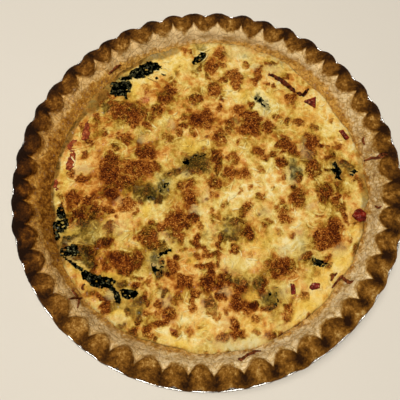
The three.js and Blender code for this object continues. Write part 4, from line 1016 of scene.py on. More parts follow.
# %% [markdown]
# ## The filling
#
# The top is one even grid, so that blisters come out equally fine everywhere. A grid is square and
# the filling round, and squeezing the square's points on to circles keeps them evenly spread. Then
# each point is raised to the top's height. The edge has shrunk from the wall in some places, which
# leaves a dark gap, and climbs the wall in others. Last, the edge is extruded down along the wall and
# closed, since the filling of an uncut quiche is solid.

# %% Lay a round grid
FILL_STEPS = 290

fill_mesh = bmesh.new()
bmesh.ops.create_grid(fill_mesh, x_segments=FILL_STEPS, y_segments=FILL_STEPS, size=1)
square = np.array([vert.co for vert in fill_mesh.verts])
wide = np.abs(square[:, 0]) >= np.abs(square[:, 1])
side = np.where(wide, square[:, 0], square[:, 1])
other = np.where(wide, square[:, 1], square[:, 0])
eighth = pi / 4 * other / np.where(side == 0, 1, side)
round_x = side * np.where(wide, np.cos(eighth), np.sin(eighth))
round_y = side * np.where(wide, np.sin(eighth), np.cos(eighth))
fill_angle = np.arctan2(round_y, round_x)
fill_share = np.hypot(round_x, round_y)
print("the grid has", len(square), "points and reaches", round(float(fill_share.max()), 3))

# %% Find the filling's edge
# Where the filling has shrunk from the wall: from and to which degrees, counted from +X to +Y.
GAPS = [(-72, -36), (-22, -14), (17, 48), (183, 196), (243, 257)]
GAP_WIDTH = 0.7 * MM


def between(angle, start, end):
    """1 between two directions, 0 elsewhere, with soft ends."""
    middle, half = radians((start + end) / 2), radians((end - start) / 2)
    away = np.abs(np.arctan2(np.sin(angle - middle), np.cos(angle - middle)))
    return ramp(away, half + 0.05, half - 0.05)


gap = np.max([between(fill_angle, *ends) for ends in GAPS], axis=0)
edge_x, edge_y = (fill_radius(fill_angle) * turned(fill_angle) for turned in (np.cos, np.sin))
edge_height = fill_height(edge_x, edge_y)
reach = wall_radius(fill_angle, edge_height) + 0.25 * MM - gap * GAP_WIDTH
fill_x, fill_y = (reach * fill_share * turned(fill_angle) for turned in (np.cos, np.sin))
inward = (1 - fill_share) * reach
print("the edge lies from", round(reach.min() / MM, 1), "to", round(reach.max() / MM, 1), "mm out")

# %% Raise the top
GAP_DEPTH = 1.3 * MM
MENISCUS = 0.5 * MM  # how far the egg climbs the wall where there is no gap
STRING_HEIGHT = 0.6 * MM  # soft ridges, as melted cheese leaves them
CURD_HEIGHT = 0.3 * MM

marks = look_up(fill_x, fill_y)
fill_points = np.stack([fill_x, fill_y, top_height(fill_x, fill_y, marks)], axis=1)
bent = fill_points + 0.8 * MM * cloud(fill_points, 3 * MM, 8)[:, None]
strings = 0.5 - np.abs(cloud(bent, 3.6 * MM, 5))
fill_points[:, 2] += STRING_HEIGHT * strings + CURD_HEIGHT * cloud(fill_points, 1.5 * MM, 6)
fill_points[:, 2] += np.exp(-inward / (1.1 * MM)) * (MENISCUS * (1 - gap) - GAP_DEPTH * gap)
for vert, point in zip(fill_mesh.verts, fill_points):
    vert.co = point
print("the top reaches", round(float(fill_points[:, 2].max()) / MM, 2), "mm")

# %% Paint what the filling's finish reads
# A thin, oily film along the edge has baked dark: from and to which degrees, how far in, how strong.
FILM = [
    (94, 112, 4.2 * MM, 0.75), (108, 128, 2.5 * MM, 1.0), (126, 142, 7 * MM, 0.8),
    (140, 158, 3.5 * MM, 1.0), (156, 205, 2.0 * MM, 1.0), (50, 66, 2.5 * MM, 0.4),
    (68, 100, 1.2 * MM, 0.4), (205, 260, 0.8 * MM, 0.5), (325, 340, 1.2 * MM, 0.9),
    (335, 359, 3.0 * MM, 0.7), (-2, 8, 2.5 * MM, 0.5),
]

for name, values in marks.items():
    paint(fill_mesh, name, values)
# Painted shade: the hollows between the soft ridges are painted darker.
paint(fill_mesh, "hollow", 0.3 - strings)
film = 0.4 * np.exp(-inward / (1.6 * MM))
wavy = 1 + 0.5 * cloud(fill_points, 5 * MM, 12)
for start, end, far, strength in FILM:
    oily = between(fill_angle, start, end) * ramp(inward, far * wavy + MM, far * wavy - 0.5 * MM)
    film = np.maximum(film, strength * oily)
paint(fill_mesh, "edge", film)
# Painted shade: a dark line along the edge where the filling has shrunk from the wall.
paint(fill_mesh, "crack", gap * np.exp(-((inward / (0.6 * MM)) ** 2)))
print("the top has", len(fill_mesh.verts.layers.float), "painted numbers at each point")

# %% Close the filling below
rim_edges = [edge for edge in fill_mesh.edges if edge.is_boundary]
for height in (19 * MM, 12 * MM, CORNER_HEIGHT + CLEARANCE):
    extruded = bmesh.ops.extrude_edge_only(fill_mesh, edges=rim_edges)["geom"]
    rim_edges = [part for part in extruded if isinstance(part, bmesh.types.BMEdge) and part.is_boundary]
    for vert in (part for part in extruded if isinstance(part, bmesh.types.BMVert)):
        angle = atan2(vert.co.y, vert.co.x)
        radius = wall_radius(angle, height) - CLEARANCE
        vert.co = (radius * cos(angle), radius * sin(angle), height)
bmesh.ops.contextual_create(fill_mesh, geom=rim_edges)
print("the filling has", len(fill_mesh.faces), "faces")

# %% [markdown]
# Baked egg and cheese is a soft yellow that runs through gold and orange to nearly black where a
# blister has scorched. One ramp of colours does most of the work. Plain egg reads it with soft, broad
# noise, and browned skin with grainy noise, because real browning is made of small speckles. The ramp
# comes in a reddish and an olive version, which drift into each other, as fat and leaf juice do.
# Milky cheese, yolk and the green of the leaves are mixed in on top. The skin is oily here and there.

# %% The filling's finish
# Egg and cheese from pale to scorched.
BROWNING = [
    (0.0, (255, 236, 170)),
    (0.14, (246, 212, 122)),
    (0.28, (230, 182, 90)),
    (0.42, (204, 146, 58)),
    (0.54, (172, 112, 34)),
    (0.68, (134, 78, 18)),
    (0.84, (98, 50, 8)),
    (1.0, (48, 22, 3)),
]
REDDER = 9
LESS_GREEN = 5


def leaning(stops, share):
    """Moves the stops towards red, or towards olive where share is negative; the pale ones least."""
    moved = []
    for place, (red, green, blue) in stops:
        move = share * min(1, (255 - green) / 100)
        moved.append((place, tint(red + REDDER * move, green - LESS_GREEN * move, blue)))
    return moved


def filling_finish():
    egg = Finish("filling")
    fine = egg.grain(0.0011, detail=4, roughness=0.72)
    curds = egg.grain(0.0034, detail=3, roughness=0.55, distortion=0.7)
    broad = egg.grain(0.0095, detail=2, roughness=0.5, distortion=0.5)
    crumbs = egg.crumbs(0.0013)
    browned = egg.painted("browned")
    tone = egg.painted("tone")
    rough = (broad - 0.5) * 0.75 + ((curds - 0.5) * 0.62 + (fine - 0.5) * 0.55) * (0.85 + tone * 0.3)
    # The painted hollows make the egg darker there: painted shade.
    plain = browned * 0.55 + rough + tone * 0.25 + egg.painted("hollow") * 0.35 + 0.235
    grit = egg.grain(0.0007, detail=2, roughness=0.8)
    speckle = (fine - 0.5) * 0.8 + (grit - 0.5) * 1.9 + (crumbs - 0.5) * 0.35
    toasted = browned * 0.45 + (curds - 0.5) * 0.5 + speckle + tone * 0.12 + 0.45
    skin = (browned + (curds - 0.5) * 0.3 + (fine - 0.5) * 0.22).soft_step(0.18, 0.66)
    value = plain + (toasted - plain) * skin
    warm = egg.shades(value, leaning(BROWNING, 1.0))
    olive = egg.shades(value, leaning(BROWNING, -1.1))
    hue = egg.grain(0.0068, detail=4, roughness=0.7)
    colour = egg.mix((hue + egg.painted("warm") * 0.16 + skin * 0.1).soft_step(0.38, 0.64), olive, warm)
    bare = 1 - browned.soft_step(0.3, 0.7)
    colour = egg.mix(egg.painted("yolk") * bare * 0.6, colour, tint(252, 210, 84))
    colour = egg.mix(egg.painted("milky") * bare * 0.6, colour, tint(216, 198, 138))
    rosy = (egg.painted("pink") * (curds + fine * 0.6)).soft_step(0.3, 0.9)
    ham_pink = egg.mix(grit.soft_step(0.45, 0.6), tint(132, 44, 20), tint(236, 140, 96))
    colour = egg.mix(rosy * 0.75, colour, ham_pink)
    stained = (egg.painted("green") * (curds * 0.9 + fine * 0.4 + 0.15)).soft_step(0.1, 0.95)
    herb = egg.shades(
        stained,
        [
            (0.25, tint(176, 158, 88)),
            (0.55, tint(112, 98, 38)),
            (0.95, tint(36, 38, 12)),
        ],
    )
    colour = egg.mix(stained * (1 - skin * 0.5) * 0.9, colour, herb)
    oily = egg.mix(curds.soft_step(0.35, 0.65), tint(96, 66, 20), tint(160, 116, 46))
    colour = egg.mix(egg.painted("edge"), colour, oily)
    # Painted shade in the gap beside the wall.
    colour = egg.mix(egg.painted("crack"), colour, tint(52, 30, 8))
    height = fine * 0.7 + curds * 1.2 + skin * 0.25 + crumbs * skin * 0.2
    roughness = 0.42 + fine * 0.2
    wet = (fine * 0.5 + curds * 0.5).soft_step(0.52, 0.62) * (1 - skin) * 0.2
    return egg.done(colour, roughness, height, strength=1.0, distance=0.0018, gloss=0.1, wet=wet)


egg_finish = filling_finish()
make_piece("filling_top", fill_mesh, egg_finish, ["filling"])

# %% [markdown]
# ## Strands of melted cheese
#
# The cheese went on grated. Where it has not quite melted, its strands still show as short, curved
# ridges, half sunk in the egg. They could be drawn into a bump map, but small tubes catch the light
# and throw shadows as the real ones do. Each one is a small grid, rolled up along a curved line.

# %% A smooth line


def smooth_line(points, share):
    """A point and a direction on a smooth line through the points. Share runs from 0 to 1."""
    points = [Vector(point) for point in points]
    first, last = 2 * points[0] - points[1], 2 * points[-1] - points[-2]
    chain = [first, *points, last]
    place = min(share * (len(points) - 1), len(points) - 1.0001)
    start = int(place)
    t = place - start
    four = chain[start : start + 4]
    slope, bend, twist = pulls(*four)
    point = four[1] + 0.5 * (slope * t + bend * t**2 + twist * t**3)
    return point, (slope + 2 * bend * t + 3 * twist * t**2).normalized()


# %% Scatter the lines of the strands
STRANDS = 420
STRAND_REACH = 90 * MM

scatter = random.Random(8)


def scattered_line():
    """A short, evenly bent line somewhere over the filling."""
    turn, far = scatter.uniform(0, 2 * pi), STRAND_REACH * scatter.random() ** 0.5
    line = [Vector((far * cos(turn), far * sin(turn)))]
    heading, bend = scatter.uniform(0, 2 * pi), scatter.uniform(-0.7, 0.7)
    step = scatter.uniform(1, 2.6) * MM
    for _ in range(3):
        heading += bend
        line.append(line[-1] + step * Vector((cos(heading), sin(heading))))
    return line


strand_lines = [scattered_line() for _ in range(STRANDS)]
print(len(strand_lines), "strands are scattered over the filling")

# %% Roll up the strands
STRAND_LIFT = 0.25 * MM
STRAND_BARE = 0.35  # strands show only where the egg is browned less than this
THREAD_LIFT = 1.4 * MM
THREAD_THICKNESS = 0.8 * MM
# Threads of cheese that have run over the leaves, as spots of the picture.
THREADS = [
    [(198, 51.5), (203, 53), (206, 51.5), (210, 50)], [(208, 53), (207, 57), (204, 61), (199, 65)],
    [(147, 78), (152, 80), (158, 83)],
]


def roll_strand(bm, line, thickness):
    """Adds a grid that is rolled into a thin tube along a line, closed at both ends."""
    grid = bmesh.ops.create_grid(bm, x_segments=8, y_segments=6, size=1)
    for vert in grid["verts"]:
        share, turn = (vert.co.x + 1) / 2, pi * vert.co.y
        point, direction = smooth_line(line, share)
        size = thickness / 2 * (1 - abs(vert.co.x) ** 4)
        side = Vector((-direction.y, direction.x, 0)) * cos(turn) + Vector((0, 0, 1)) * sin(turn)
        vert.co = point + side * size


x, y = np.array([point for line in strand_lines for point in line]).T
strand_marks = look_up(x, y)
heights = (top_height(x, y, strand_marks) + STRAND_LIFT).reshape(STRANDS, -1)
toasted = strand_marks["browned"].reshape(STRANDS, -1).mean(axis=1)
bm = bmesh.new()
for line, line_heights, skin in zip(strand_lines, heights, toasted):
    if skin < STRAND_BARE:
        points = [Vector((*point, height)) for point, height in zip(line, line_heights)]
        roll_strand(bm, points, scatter.uniform(0.8, 1.4) * MM)
for line in THREADS:
    points = [on_filling(*spot) for spot in line]
    x, y, _ = np.array(points).T
    for point, height in zip(points, top_height(x, y, look_up(x, y))):
        point.z = height + THREAD_LIFT
    roll_strand(bm, points, THREAD_THICKNESS)
bmesh.ops.remove_doubles(bm, verts=bm.verts, dist=1e-6)
x, y, _ = np.array([vert.co for vert in bm.verts]).T
strand_marks = look_up(x, y)
# The strands stay a little paler than the egg around them.
strand_marks["browned"] *= 0.75
strand_marks["tone"] -= 0.5
for name, values in strand_marks.items():
    paint(bm, name, values)
make_piece("cheese_strands", bm, egg_finish)

# %% [markdown]
# ## Wilted spinach
#
# A baked spinach leaf is a thin, crinkled rag that clings to the egg. Its outline is so odd that we
# trace it, as spots of the picture, frayed a little by noise. A fine grid is laid over the outline,
# what lies outside is deleted, and the rest is put down on the filling's top. Cloth simulation would
# drape it, but noise in two sizes crumples it as well and is steady and quick. Its rim dips into the
# egg, and a Solidify modifier gives it a thickness.

# %% Lay a leaf on the filling
LEAF_THICKNESS = 0.35 * MM
WALL_MARGIN = 0.7 * MM
LEAF_GRID = 0.5  # steps of the picture
FRAY = 1.3  # steps of the picture
FEW_HOLES = -0.62  # a leaf is torn where its noise is below this


def keep_inside(x, y):
    """Keeps a topping off the pastry wall."""
    radius = hypot(x, y)
    limit = fill_radius(atan2(y, x)) - WALL_MARGIN
    shrink = min(1, limit / radius)
    return x * shrink, y * shrink


def inside_outline(outline, across, down):
    """Which spots of the picture lie inside a closed outline."""
    inside = np.zeros(across.shape, bool)
    for (x0, y0), (x1, y1) in zip(outline, outline[1:] + outline[:1]):
        if y0 != y1:
            crosses = (y0 > down) != (y1 > down)
            inside ^= crosses & (across < x0 + (x1 - x0) * (down - y0) / (y1 - y0))
    return inside


def fray(spots, seed):
    """Noise that frays an outline, in steps of the picture."""
    return FRAY * (cloud(spots, 2.4, seed) + cloud(spots, 1.1, seed + 1))


def lay_sheet(bm, outline, seed, crumple, lift, holes):
    """Adds a crumpled sheet with a traced outline that lies on the filling."""
    low, high = np.min(outline, axis=0) - 1, np.max(outline, axis=0) + 1
    columns, rows = np.ceil((high - low) / LEAF_GRID).astype(int)
    grid = bmesh.ops.create_grid(bm, x_segments=int(columns), y_segments=int(rows), size=1)
    verts = np.array(grid["verts"])
    share = (np.array([vert.co for vert in verts])[:, :2] + 1) / 2
    across, down = (low + share * (high - low)).T
    spots = np.stack([across, down, np.zeros_like(down)], axis=1)
    # The holes are twice as wide as they are high.
    torn = cloud(spots * (0.5, 1, 1), 1.9, seed + 7) < holes
    inside = inside_outline(outline, across + fray(spots, seed), down + fray(spots, seed + 2)) & ~torn
    bmesh.ops.delete(bm, geom=list(verts[~inside]), context="VERTS")
    verts, across, down = verts[inside], across[inside], down[inside]
    flat = [on_filling(*spot) for spot in zip(across, down)]
    x, y = np.array([keep_inside(point.x, point.y) for point in flat]).T
    height = top_height(x, y, look_up(x, y))
    spots = np.stack([x, y, height], axis=1)
    folds = 0.9 * np.abs(cloud(spots, 4.2 * MM, seed)) + 0.4 * np.abs(cloud(spots, 1.7 * MM, seed + 3))
    sunk = 0.5 + 0.7 * cloud(spots, 3.5 * MM, seed + 5)
    rim = np.array([vert.is_boundary for vert in verts])
    height = height + MM * (lift + crumple * 1.7 * folds - (lift + 0.1) * rim * sunk)
    for vert, place in zip(verts, zip(x, y, height)):
        vert.co = place


def sheet_piece(name, outlines, seed, material, crumple=0.8, lift=0.5, holes=FEW_HOLES):
    """Makes one topping of one or more sheets."""
    bm = bmesh.new()
    for number, outline in enumerate(outlines):
        lay_sheet(bm, outline, seed + 11 * number, crumple, lift, holes)
    loose = [vert for vert in bm.verts if not vert.link_faces]
    bmesh.ops.delete(bm, geom=loose, context="VERTS")
    edge = [vert for vert in bm.verts if vert.is_boundary]
    for _ in range(3):
        bmesh.ops.smooth_vert(
            bm, verts=edge, factor=0.5, use_axis_x=True, use_axis_y=True, use_axis_z=True
        )
    sheet = make_piece(name, bm, material, [name])
    thick = sheet.modifiers.new("thickness", "SOLIDIFY")
    thick.thickness = LEAF_THICKNESS
    thick.offset = 0
    return sheet


# %% [markdown]
# Baked spinach is almost black and olive where it is thin. Thin pale lines along some of its
# creases are painted glints. The leaf itself is rough and dull. A thin, uneven coat gives it the damp
# shine that a few of its folds have.

# %% The spinach's finish


def leaf_finish():
    leaf = Finish("spinach")
    patches = leaf.grain(0.0026, detail=3, roughness=0.6)
    fine = leaf.grain(0.0008, detail=3)
    shade = leaf.mix(patches.soft_step(0.45, 0.66), tint(0, 1, 0), tint(10, 12, 4))
    thin = (patches * 0.6 + fine * 0.4).soft_step(0.59, 0.7)
    shade = leaf.mix(thin * 0.5, shade, tint(92, 92, 38))
    curl = leaf.grain(0.0019, detail=1, distortion=0.8)
    # Painted glints: thin pale lines along some creases.
    glint_lines = ((curl - 0.5) ** 2).soft_step(0.0007, 0.0) * patches.soft_step(0.48, 0.6)
    shade = leaf.mix(glint_lines * 0.8, shade, tint(150, 146, 100))
    height = patches * 0.6 + fine * 0.4 + glint_lines * 0.1
    wet = (patches * 0.5 + fine * 0.5).soft_step(0.54, 0.6) * 0.15
    return leaf.done(shade, 0.7, height, strength=0.9, distance=0.0009, gloss=0.0, wet=wet)


# %% Lay the leaves
# How high each leaf lies over the egg, in millimetres, and its outlines. Low ones are half covered.
LEAVES = {
    "spinach_back_left": (0.5, [
        [(129, 74), (131, 70), (136, 67.5), (141, 65.5), (146, 62), (150, 61.5), (158, 62.5),
         (161, 66), (163, 67.5), (160, 70.5), (154, 71.5), (152, 75), (147, 76.5), (145, 79.5),
         (141, 78), (138, 80.5), (134, 78.5), (130.5, 77.5)],
        [(161, 74), (165, 74.5), (168, 77), (165, 77.5), (162, 76)],
        [(153, 77.5), (158, 77), (160, 79.5), (158, 80), (156, 79.5)],
    ]),
    "spinach_rim_left": (0.5, [
        [(110, 83), (113, 81), (118, 82), (124, 81), (130, 80.5), (132, 84), (133, 87),
         (131, 89.5), (130, 91), (132, 92), (129, 93.5), (127, 94), (128, 98), (128.5, 100),
         (125.5, 100), (123, 96.5), (119, 96), (116, 97.5), (113, 96), (109, 94.5), (108, 93),
         (111, 90.5), (110, 87)],
        [(115, 80), (122, 77.5), (129, 75.5), (134, 74.5), (133, 79.5), (124, 81)],
    ]),
    "spinach_back": (0.4, [
        [(191, 64), (193, 59), (197, 55.5), (200, 53), (204, 52), (207, 54), (206.5, 58),
         (203, 61), (199, 63.5), (195, 66)],
    ]),
    "spinach_left_upper": (0.4, [
        [(56, 211), (58, 206), (62, 203.5), (65, 207), (65, 211), (67, 215), (66, 219),
         (61, 219), (57, 217)],
        [(54.5, 213), (56.5, 213.5), (57.5, 217.5), (56, 217.5)],
    ]),
    "spinach_left_lower": (0.4, [
        [(52, 222), (56, 219.5), (61, 220), (66, 217.5), (69, 219), (69.5, 224), (67, 229),
         (64, 232), (61, 235), (60, 240), (56, 241.5), (53, 239), (51, 233), (50.5, 227)],
        [(62, 236), (67, 236.5), (73, 238), (72, 239.5), (67, 239), (63, 238)],
    ]),
    "spinach_left_fold": (0.1, [
        [(56, 247), (58, 249), (60, 248.5), (64, 247), (69, 245.5), (72, 243), (76, 244),
         (79, 246), (79, 249), (81, 252), (80, 256), (74, 257), (69, 256.5), (64, 257),
         (60, 256), (57, 254.5), (56.5, 251)],
    ]),
    "spinach_strand": (0.5, [
        [(61, 255), (66, 257), (72, 261), (78, 264.5), (84, 269), (83, 272.5), (76, 268.5),
         (70, 263.5), (64, 259.5)],
        [(81, 271), (86, 269.5), (92, 273), (98, 275), (106, 276.5), (113, 278), (118, 281),
         (116, 283.5), (113, 285), (116, 289), (119.5, 292), (121, 297), (121, 301), (119.5, 304.5),
         (117, 304), (114, 300), (114, 296), (112, 293), (109, 290), (106, 287.5), (103, 289),
         (97, 288.5), (92, 287), (89, 282.5), (86, 281), (82, 279), (80.5, 275)],
        [(119, 289), (126, 288), (133, 289.5), (138, 290.5), (138.5, 295.5), (134, 299),
         (128, 300), (122, 297)],
    ]),
    "spinach_curl": (0.0, [
        [(156, 256), (160, 252), (166, 249.5), (172, 248.5), (173, 252), (167, 255.5),
         (161, 257.5), (156.5, 259)],
        [(151, 262), (154, 259), (156, 262), (157.5, 266), (160, 270), (160.5, 275.5),
         (157.5, 278.5), (154.5, 274.5), (151.5, 270), (150.5, 266)],
        [(160.5, 259), (164.5, 260.5), (164.5, 266), (162.5, 270), (163, 276), (160.5, 276),
         (159.5, 270), (160, 264)],
    ]),
    "spinach_middle": (-0.25, [
        [(180, 157), (184, 158.5), (187, 158), (191, 156.5), (193, 160), (190, 165), (188, 169),
         (184, 166), (181.5, 162.5)],
        [(190, 157), (196, 153.5), (203, 152.5), (208, 154.5), (206, 157.5), (198, 158), (193, 160)],
        [(146, 196), (150, 193.5), (156, 195), (157, 199), (153, 202), (148, 201)],
        [(158, 192), (161, 186), (165, 182), (170, 180.5), (170, 184.5), (165, 189), (161, 193)],
        [(165, 176), (168, 172.5), (173, 171), (171, 175), (167, 178)],
    ]),
    "spinach_back_right": (-0.35, [
        [(252.5, 98.5), (257, 95.5), (261, 95), (263.5, 99), (267, 101.5), (269, 105),
         (271, 108.5), (266, 108), (262, 106.5), (259, 102.5), (255, 101)],
    ]),
    "spinach_right": (0.0, [
        [(331.5, 163), (335, 160), (338, 163.5), (340.5, 168.5), (342.5, 172), (340.5, 176),
         (343, 180.5), (338.5, 180), (333.5, 178.5), (336, 176), (333.5, 173.5), (330.5, 170),
         (331.5, 167)],
    ]),
    "spinach_right_small": (-0.1, [
        [(349.5, 171), (354, 169), (357, 170), (359, 172), (355.5, 174), (353, 177),
         (349.5, 176), (348.5, 173)],
    ]),
    "spinach_front_right": (-0.2, [
        [(311, 257), (316, 258), (320, 259.5), (324, 261.5), (330, 263.5), (333.5, 266.5),
         (328, 266.5), (322, 268), (317, 267), (311.5, 265.5), (311.5, 261)],
    ]),
    "spinach_front": (-0.75, [
        [(263, 289), (268, 291.5), (272, 289), (277, 286.5), (281.5, 287.5), (278.5, 291),
         (281, 297), (279, 303), (276, 309), (269, 310.5), (263.5, 308.5), (266, 303),
         (264.5, 298), (268, 295), (264.5, 292)],
    ]),
}
spinach = leaf_finish()
# Leaves that are torn more than the others: the nearer the number is to 0, the more holes.
TORN = {
    "spinach_left_upper": -0.4,
    "spinach_left_lower": -0.4,
    "spinach_left_fold": -0.44,
    "spinach_curl": -0.25,
    "spinach_middle": -0.2,
}
for seed, (name, (lift, outlines)) in enumerate(LEAVES.items()):
    holes = TORN.get(name, FEW_HOLES)
    sheet_piece(name, outlines, seed + 1, spinach, lift=lift, holes=holes)
print(len(LEAVES), "leaves are laid")

# %% [markdown]
# ## Ham
#
# The ham lies in thin torn strips near the left edge. It is made as the leaves are, but flatter and
# without holes, and its finish is a mottle of brown, pink and pale fat.

# %% Ham


def ham_finish():
    ham = Finish("ham")
    mottle = ham.grain(0.002, detail=4, roughness=0.65)
    fine = ham.grain(0.0007, detail=3)
    colour = ham.shades(
        mottle * 0.7 + fine * 0.3,
        [
            (0.34, tint(62, 16, 6)),
            (0.46, tint(110, 42, 18)),
            (0.54, tint(146, 66, 32)),
            (0.66, tint(196, 120, 66)),
        ],
    )
    return ham.done(colour, 0.34 + fine * 0.2, mottle, strength=0.7, distance=0.0005)


HAM = {
    "ham_left": [
        [(66, 147), (69, 142), (72, 139.5), (78, 139), (77, 142), (73.5, 144), (73, 147),
         (75.5, 150), (75.5, 155), (76, 163), (73.5, 168), (70, 171), (66, 171.5), (65, 166),
         (67, 160), (69.5, 156), (69.5, 151), (67, 150)],
    ],
    "ham_back_left": [
        [(89, 119), (90.5, 128), (90, 139), (86, 141.5), (81, 140), (82, 133), (84, 126), (87, 121)],
    ],
    "ham_rim": [
        [(53, 184), (54, 179.5), (57, 177.5), (58.5, 182), (58, 187), (59, 190.5), (56, 190.5),
         (53, 187)],
    ],
}
ham_mix = ham_finish()
for seed, (name, outlines) in enumerate(HAM.items()):
    sheet_piece(name, outlines, seed + 40, ham_mix, crumple=0.6, lift=0.1, holes=-1)

# %% [markdown]
# ## Red pepper
#
# Diced pepper keeps its cut sides, softened by baking. Each dice starts as one face with the outline
# of the piece, is extruded to its thickness and bevelled, and then roughened by a broad and a fine
# noise. One pepper end is round, and starts as a sphere.

# %% Pepper


def pepper_finish():
    pepper = Finish("pepper")
    fine = pepper.grain(0.0012, detail=3)
    broad = pepper.grain(0.004, detail=2)
    colour = pepper.mix(broad.soft_step(0.35, 0.7), tint(68, 8, 4), tint(126, 28, 13))
    # The light specks on top are painted glints.
    colour = pepper.mix(fine.soft_step(0.57, 0.66) * 0.75, colour, tint(204, 128, 84))
    wet = (fine * 0.5 + broad * 0.5).soft_step(0.5, 0.6) * 0.3
    return pepper.done(colour, 0.4 + fine * 0.2, fine, strength=0.7, distance=0.0007, wet=wet)


def roughen(bm, depth, size, seed):
    """Pushes every point along its normal by noise."""
    bm.normal_update()
    for vert in bm.verts:
        vert.co += vert.normal * depth * noise.noise(vert.co / size + Vector((seed, 0, seed)))


DICE_SUNK = 0.5 * MM
DICE_EDGE = 0.55 * MM


def diced(name, at, thickness, corners, seed):
    """Makes one dice of pepper with cut sides and softened edges."""
    bm = bmesh.new()
    x0, y0 = at[0] * MM, at[1] * MM
    here = look_up(np.array([x0]), np.array([y0]))
    base = float(top_height(np.array([x0]), np.array([y0]), here)[0]) - DICE_SUNK
    outline = [bm.verts.new((x0 + x * MM, y0 + y * MM, base)) for x, y in corners]
    cut = bm.faces.new(outline)
    raised = bmesh.ops.extrude_face_region(bm, geom=[cut])["geom"]
    tops = [part for part in raised if isinstance(part, bmesh.types.BMVert)]
    bmesh.ops.translate(bm, verts=tops, vec=(0, 0, thickness * MM))
    bmesh.ops.bevel(
        bm,
        geom=bm.edges[:],
        offset=DICE_EDGE,
        segments=3,
        profile=0.5,
        affect="EDGES",
        material=-1,
    )
    bmesh.ops.triangulate(bm, faces=[face for face in bm.faces if len(face.verts) > 4])
    bmesh.ops.subdivide_edges(bm, edges=bm.edges[:], cuts=2, use_grid_fill=True)
    roughen(bm, 0.28 * MM, 1.1 * MM, seed)
    roughen(bm, 0.3 * MM, 0.5 * MM, seed + 3)
    return make_piece(name, bm, pepper_skin, [name])


# Where each dice lies, how thick it is and its corners around that place, in millimetres.
PEPPERS = {
    "pepper_wedge": ((73.2, 46.8), 2.4, [(-5, 0.9), (3.3, 3.2), (1.7, -4.2)]),
    "pepper_sliver": ((89, 22), 2.4, [(-2.6, 3.2), (0.2, 3.4), (3, -2.4), (0.6, -3.2)]),
    "pepper_front": ((42.4, -67.2), 2.3, [(-0.4, 3.4), (1.6, 2.2), (1.4, -2.6), (-1.2, -3)]),
    "pepper_front_right": (
        (55, -66.8),
        2.3,
        [(-3.4, -0.6), (-1, 1.8), (3.2, 1.4), (2.6, -1.4), (-1.6, -2)],
    ),
}
pepper_skin = pepper_finish()
for seed, (name, (at, thickness, corners)) in enumerate(PEPPERS.items()):
    diced(name, at, thickness, corners, seed)

# %% The round pepper end
ROUND_AT = on_filling(359.5, 215.5)[:2]
ROUND_RADIUS = 3.9 * MM
ROUND_HALF_HEIGHT = 1.9 * MM
ROUND_LIFT = 0.8 * MM

bm = bmesh.new()
bmesh.ops.create_uvsphere(bm, u_segments=48, v_segments=24, radius=1)
bmesh.ops.scale(bm, verts=bm.verts, vec=(ROUND_RADIUS, ROUND_RADIUS, ROUND_HALF_HEIGHT))
bmesh.ops.translate(bm, verts=bm.verts, vec=(*ROUND_AT, fill_height(*ROUND_AT) + ROUND_LIFT))
roughen(bm, 1.1 * MM, 2.2 * MM, 3)
roughen(bm, 0.35 * MM, 0.7 * MM, 5)
make_piece("pepper_round", bm, pepper_skin, ["pepper_round"])

# %% [markdown]
# ## Roasted onion and burnt shreds
#
# A strip of onion and the dark shreds on the pastry are thin, curved rods. A curve with a bevel would
# do, but extruding a round from point to point lets each one taper and stay a plain mesh. They share
# one kind of finish, dark with lighter streaks.

# %% Extrude a rod along a line


def add_rod(bm, line, thickness, seed, sides, steps):
    """Adds a tapering, slightly knobbly rod along a line of points."""
    ring = bmesh.ops.create_circle(bm, cap_ends=True, segments=sides, radius=1)["verts"]
    front = next(face for face in ring[0].link_faces)
    placed = Matrix.Identity(4)
    for step in range(steps + 1):
        share = step / steps
        point, direction = smooth_line(line, share)
        knob = 1 + 0.35 * noise.noise(Vector((share * 5, seed, 0)))
        size = thickness / 2 * knob * (0.35 + 0.65 * sin(pi * min(max(share, 0.04), 0.96)) ** 0.5)
        scale = Matrix.Diagonal((size, size, 1, 1))
        turned = direction.to_track_quat("Z", "Y").to_matrix().to_4x4()
        frame_now = Matrix.Translation(point) @ turned @ scale
        if step:
            raised = bmesh.ops.extrude_face_region(bm, geom=[front])["geom"]
            front = next(part for part in raised if isinstance(part, bmesh.types.BMFace))
        bmesh.ops.transform(bm, matrix=frame_now @ placed.inverted(), verts=front.verts[:])
        placed = frame_now


# %% The strip of onion


def strip_finish(name, dark, light, roughness):
    strip = Finish(name)
    streaks = strip.grain(0.0016, detail=4, roughness=0.65)
    colour = strip.mix(streaks.soft_step(0.38, 0.66), tint(*dark), tint(*light))
    return strip.done(colour, roughness + streaks * 0.15, streaks, strength=0.6, distance=0.0004)


# The strip and its two thinner, burnt ends: thickness in millimetres, line as spots of the picture.
ONION = [
    (2.8, [(268.5, 74.5), (273, 76), (277, 78), (284, 83), (291, 88.5), (294, 91)]),
    (1.6, [(291, 89), (295, 92.5), (300, 95), (304, 94), (307, 91), (308, 89)]),
    (1.2, [(296, 95), (299, 93), (303, 96), (306, 94)]),
]
ONION_LIFT = 0.4 * MM

bm = bmesh.new()
for thickness, line in ONION:
    onion_points = [on_filling(*spot) + Vector((0, 0, ONION_LIFT)) for spot in line]
    add_rod(bm, onion_points, thickness * MM, 3, sides=14, steps=50)
roughen(bm, 0.8 * MM, 1.5 * MM, 2)
roughen(bm, 0.25 * MM, 0.5 * MM, 6)
onion_skin = strip_finish("onion", (34, 10, 4), (124, 54, 26), 0.4)
make_piece("onion_strip", bm, onion_skin, ["onion_strip"])

# %% [markdown]
# The shreds are bits of topping that fell on the pastry before it was baked. They stick to it, so
# each follows the pastry's own surface: for a radius and an angle we read the height from the column
# of the case that lies there. The line of sight and the surface meet after a few better guesses.

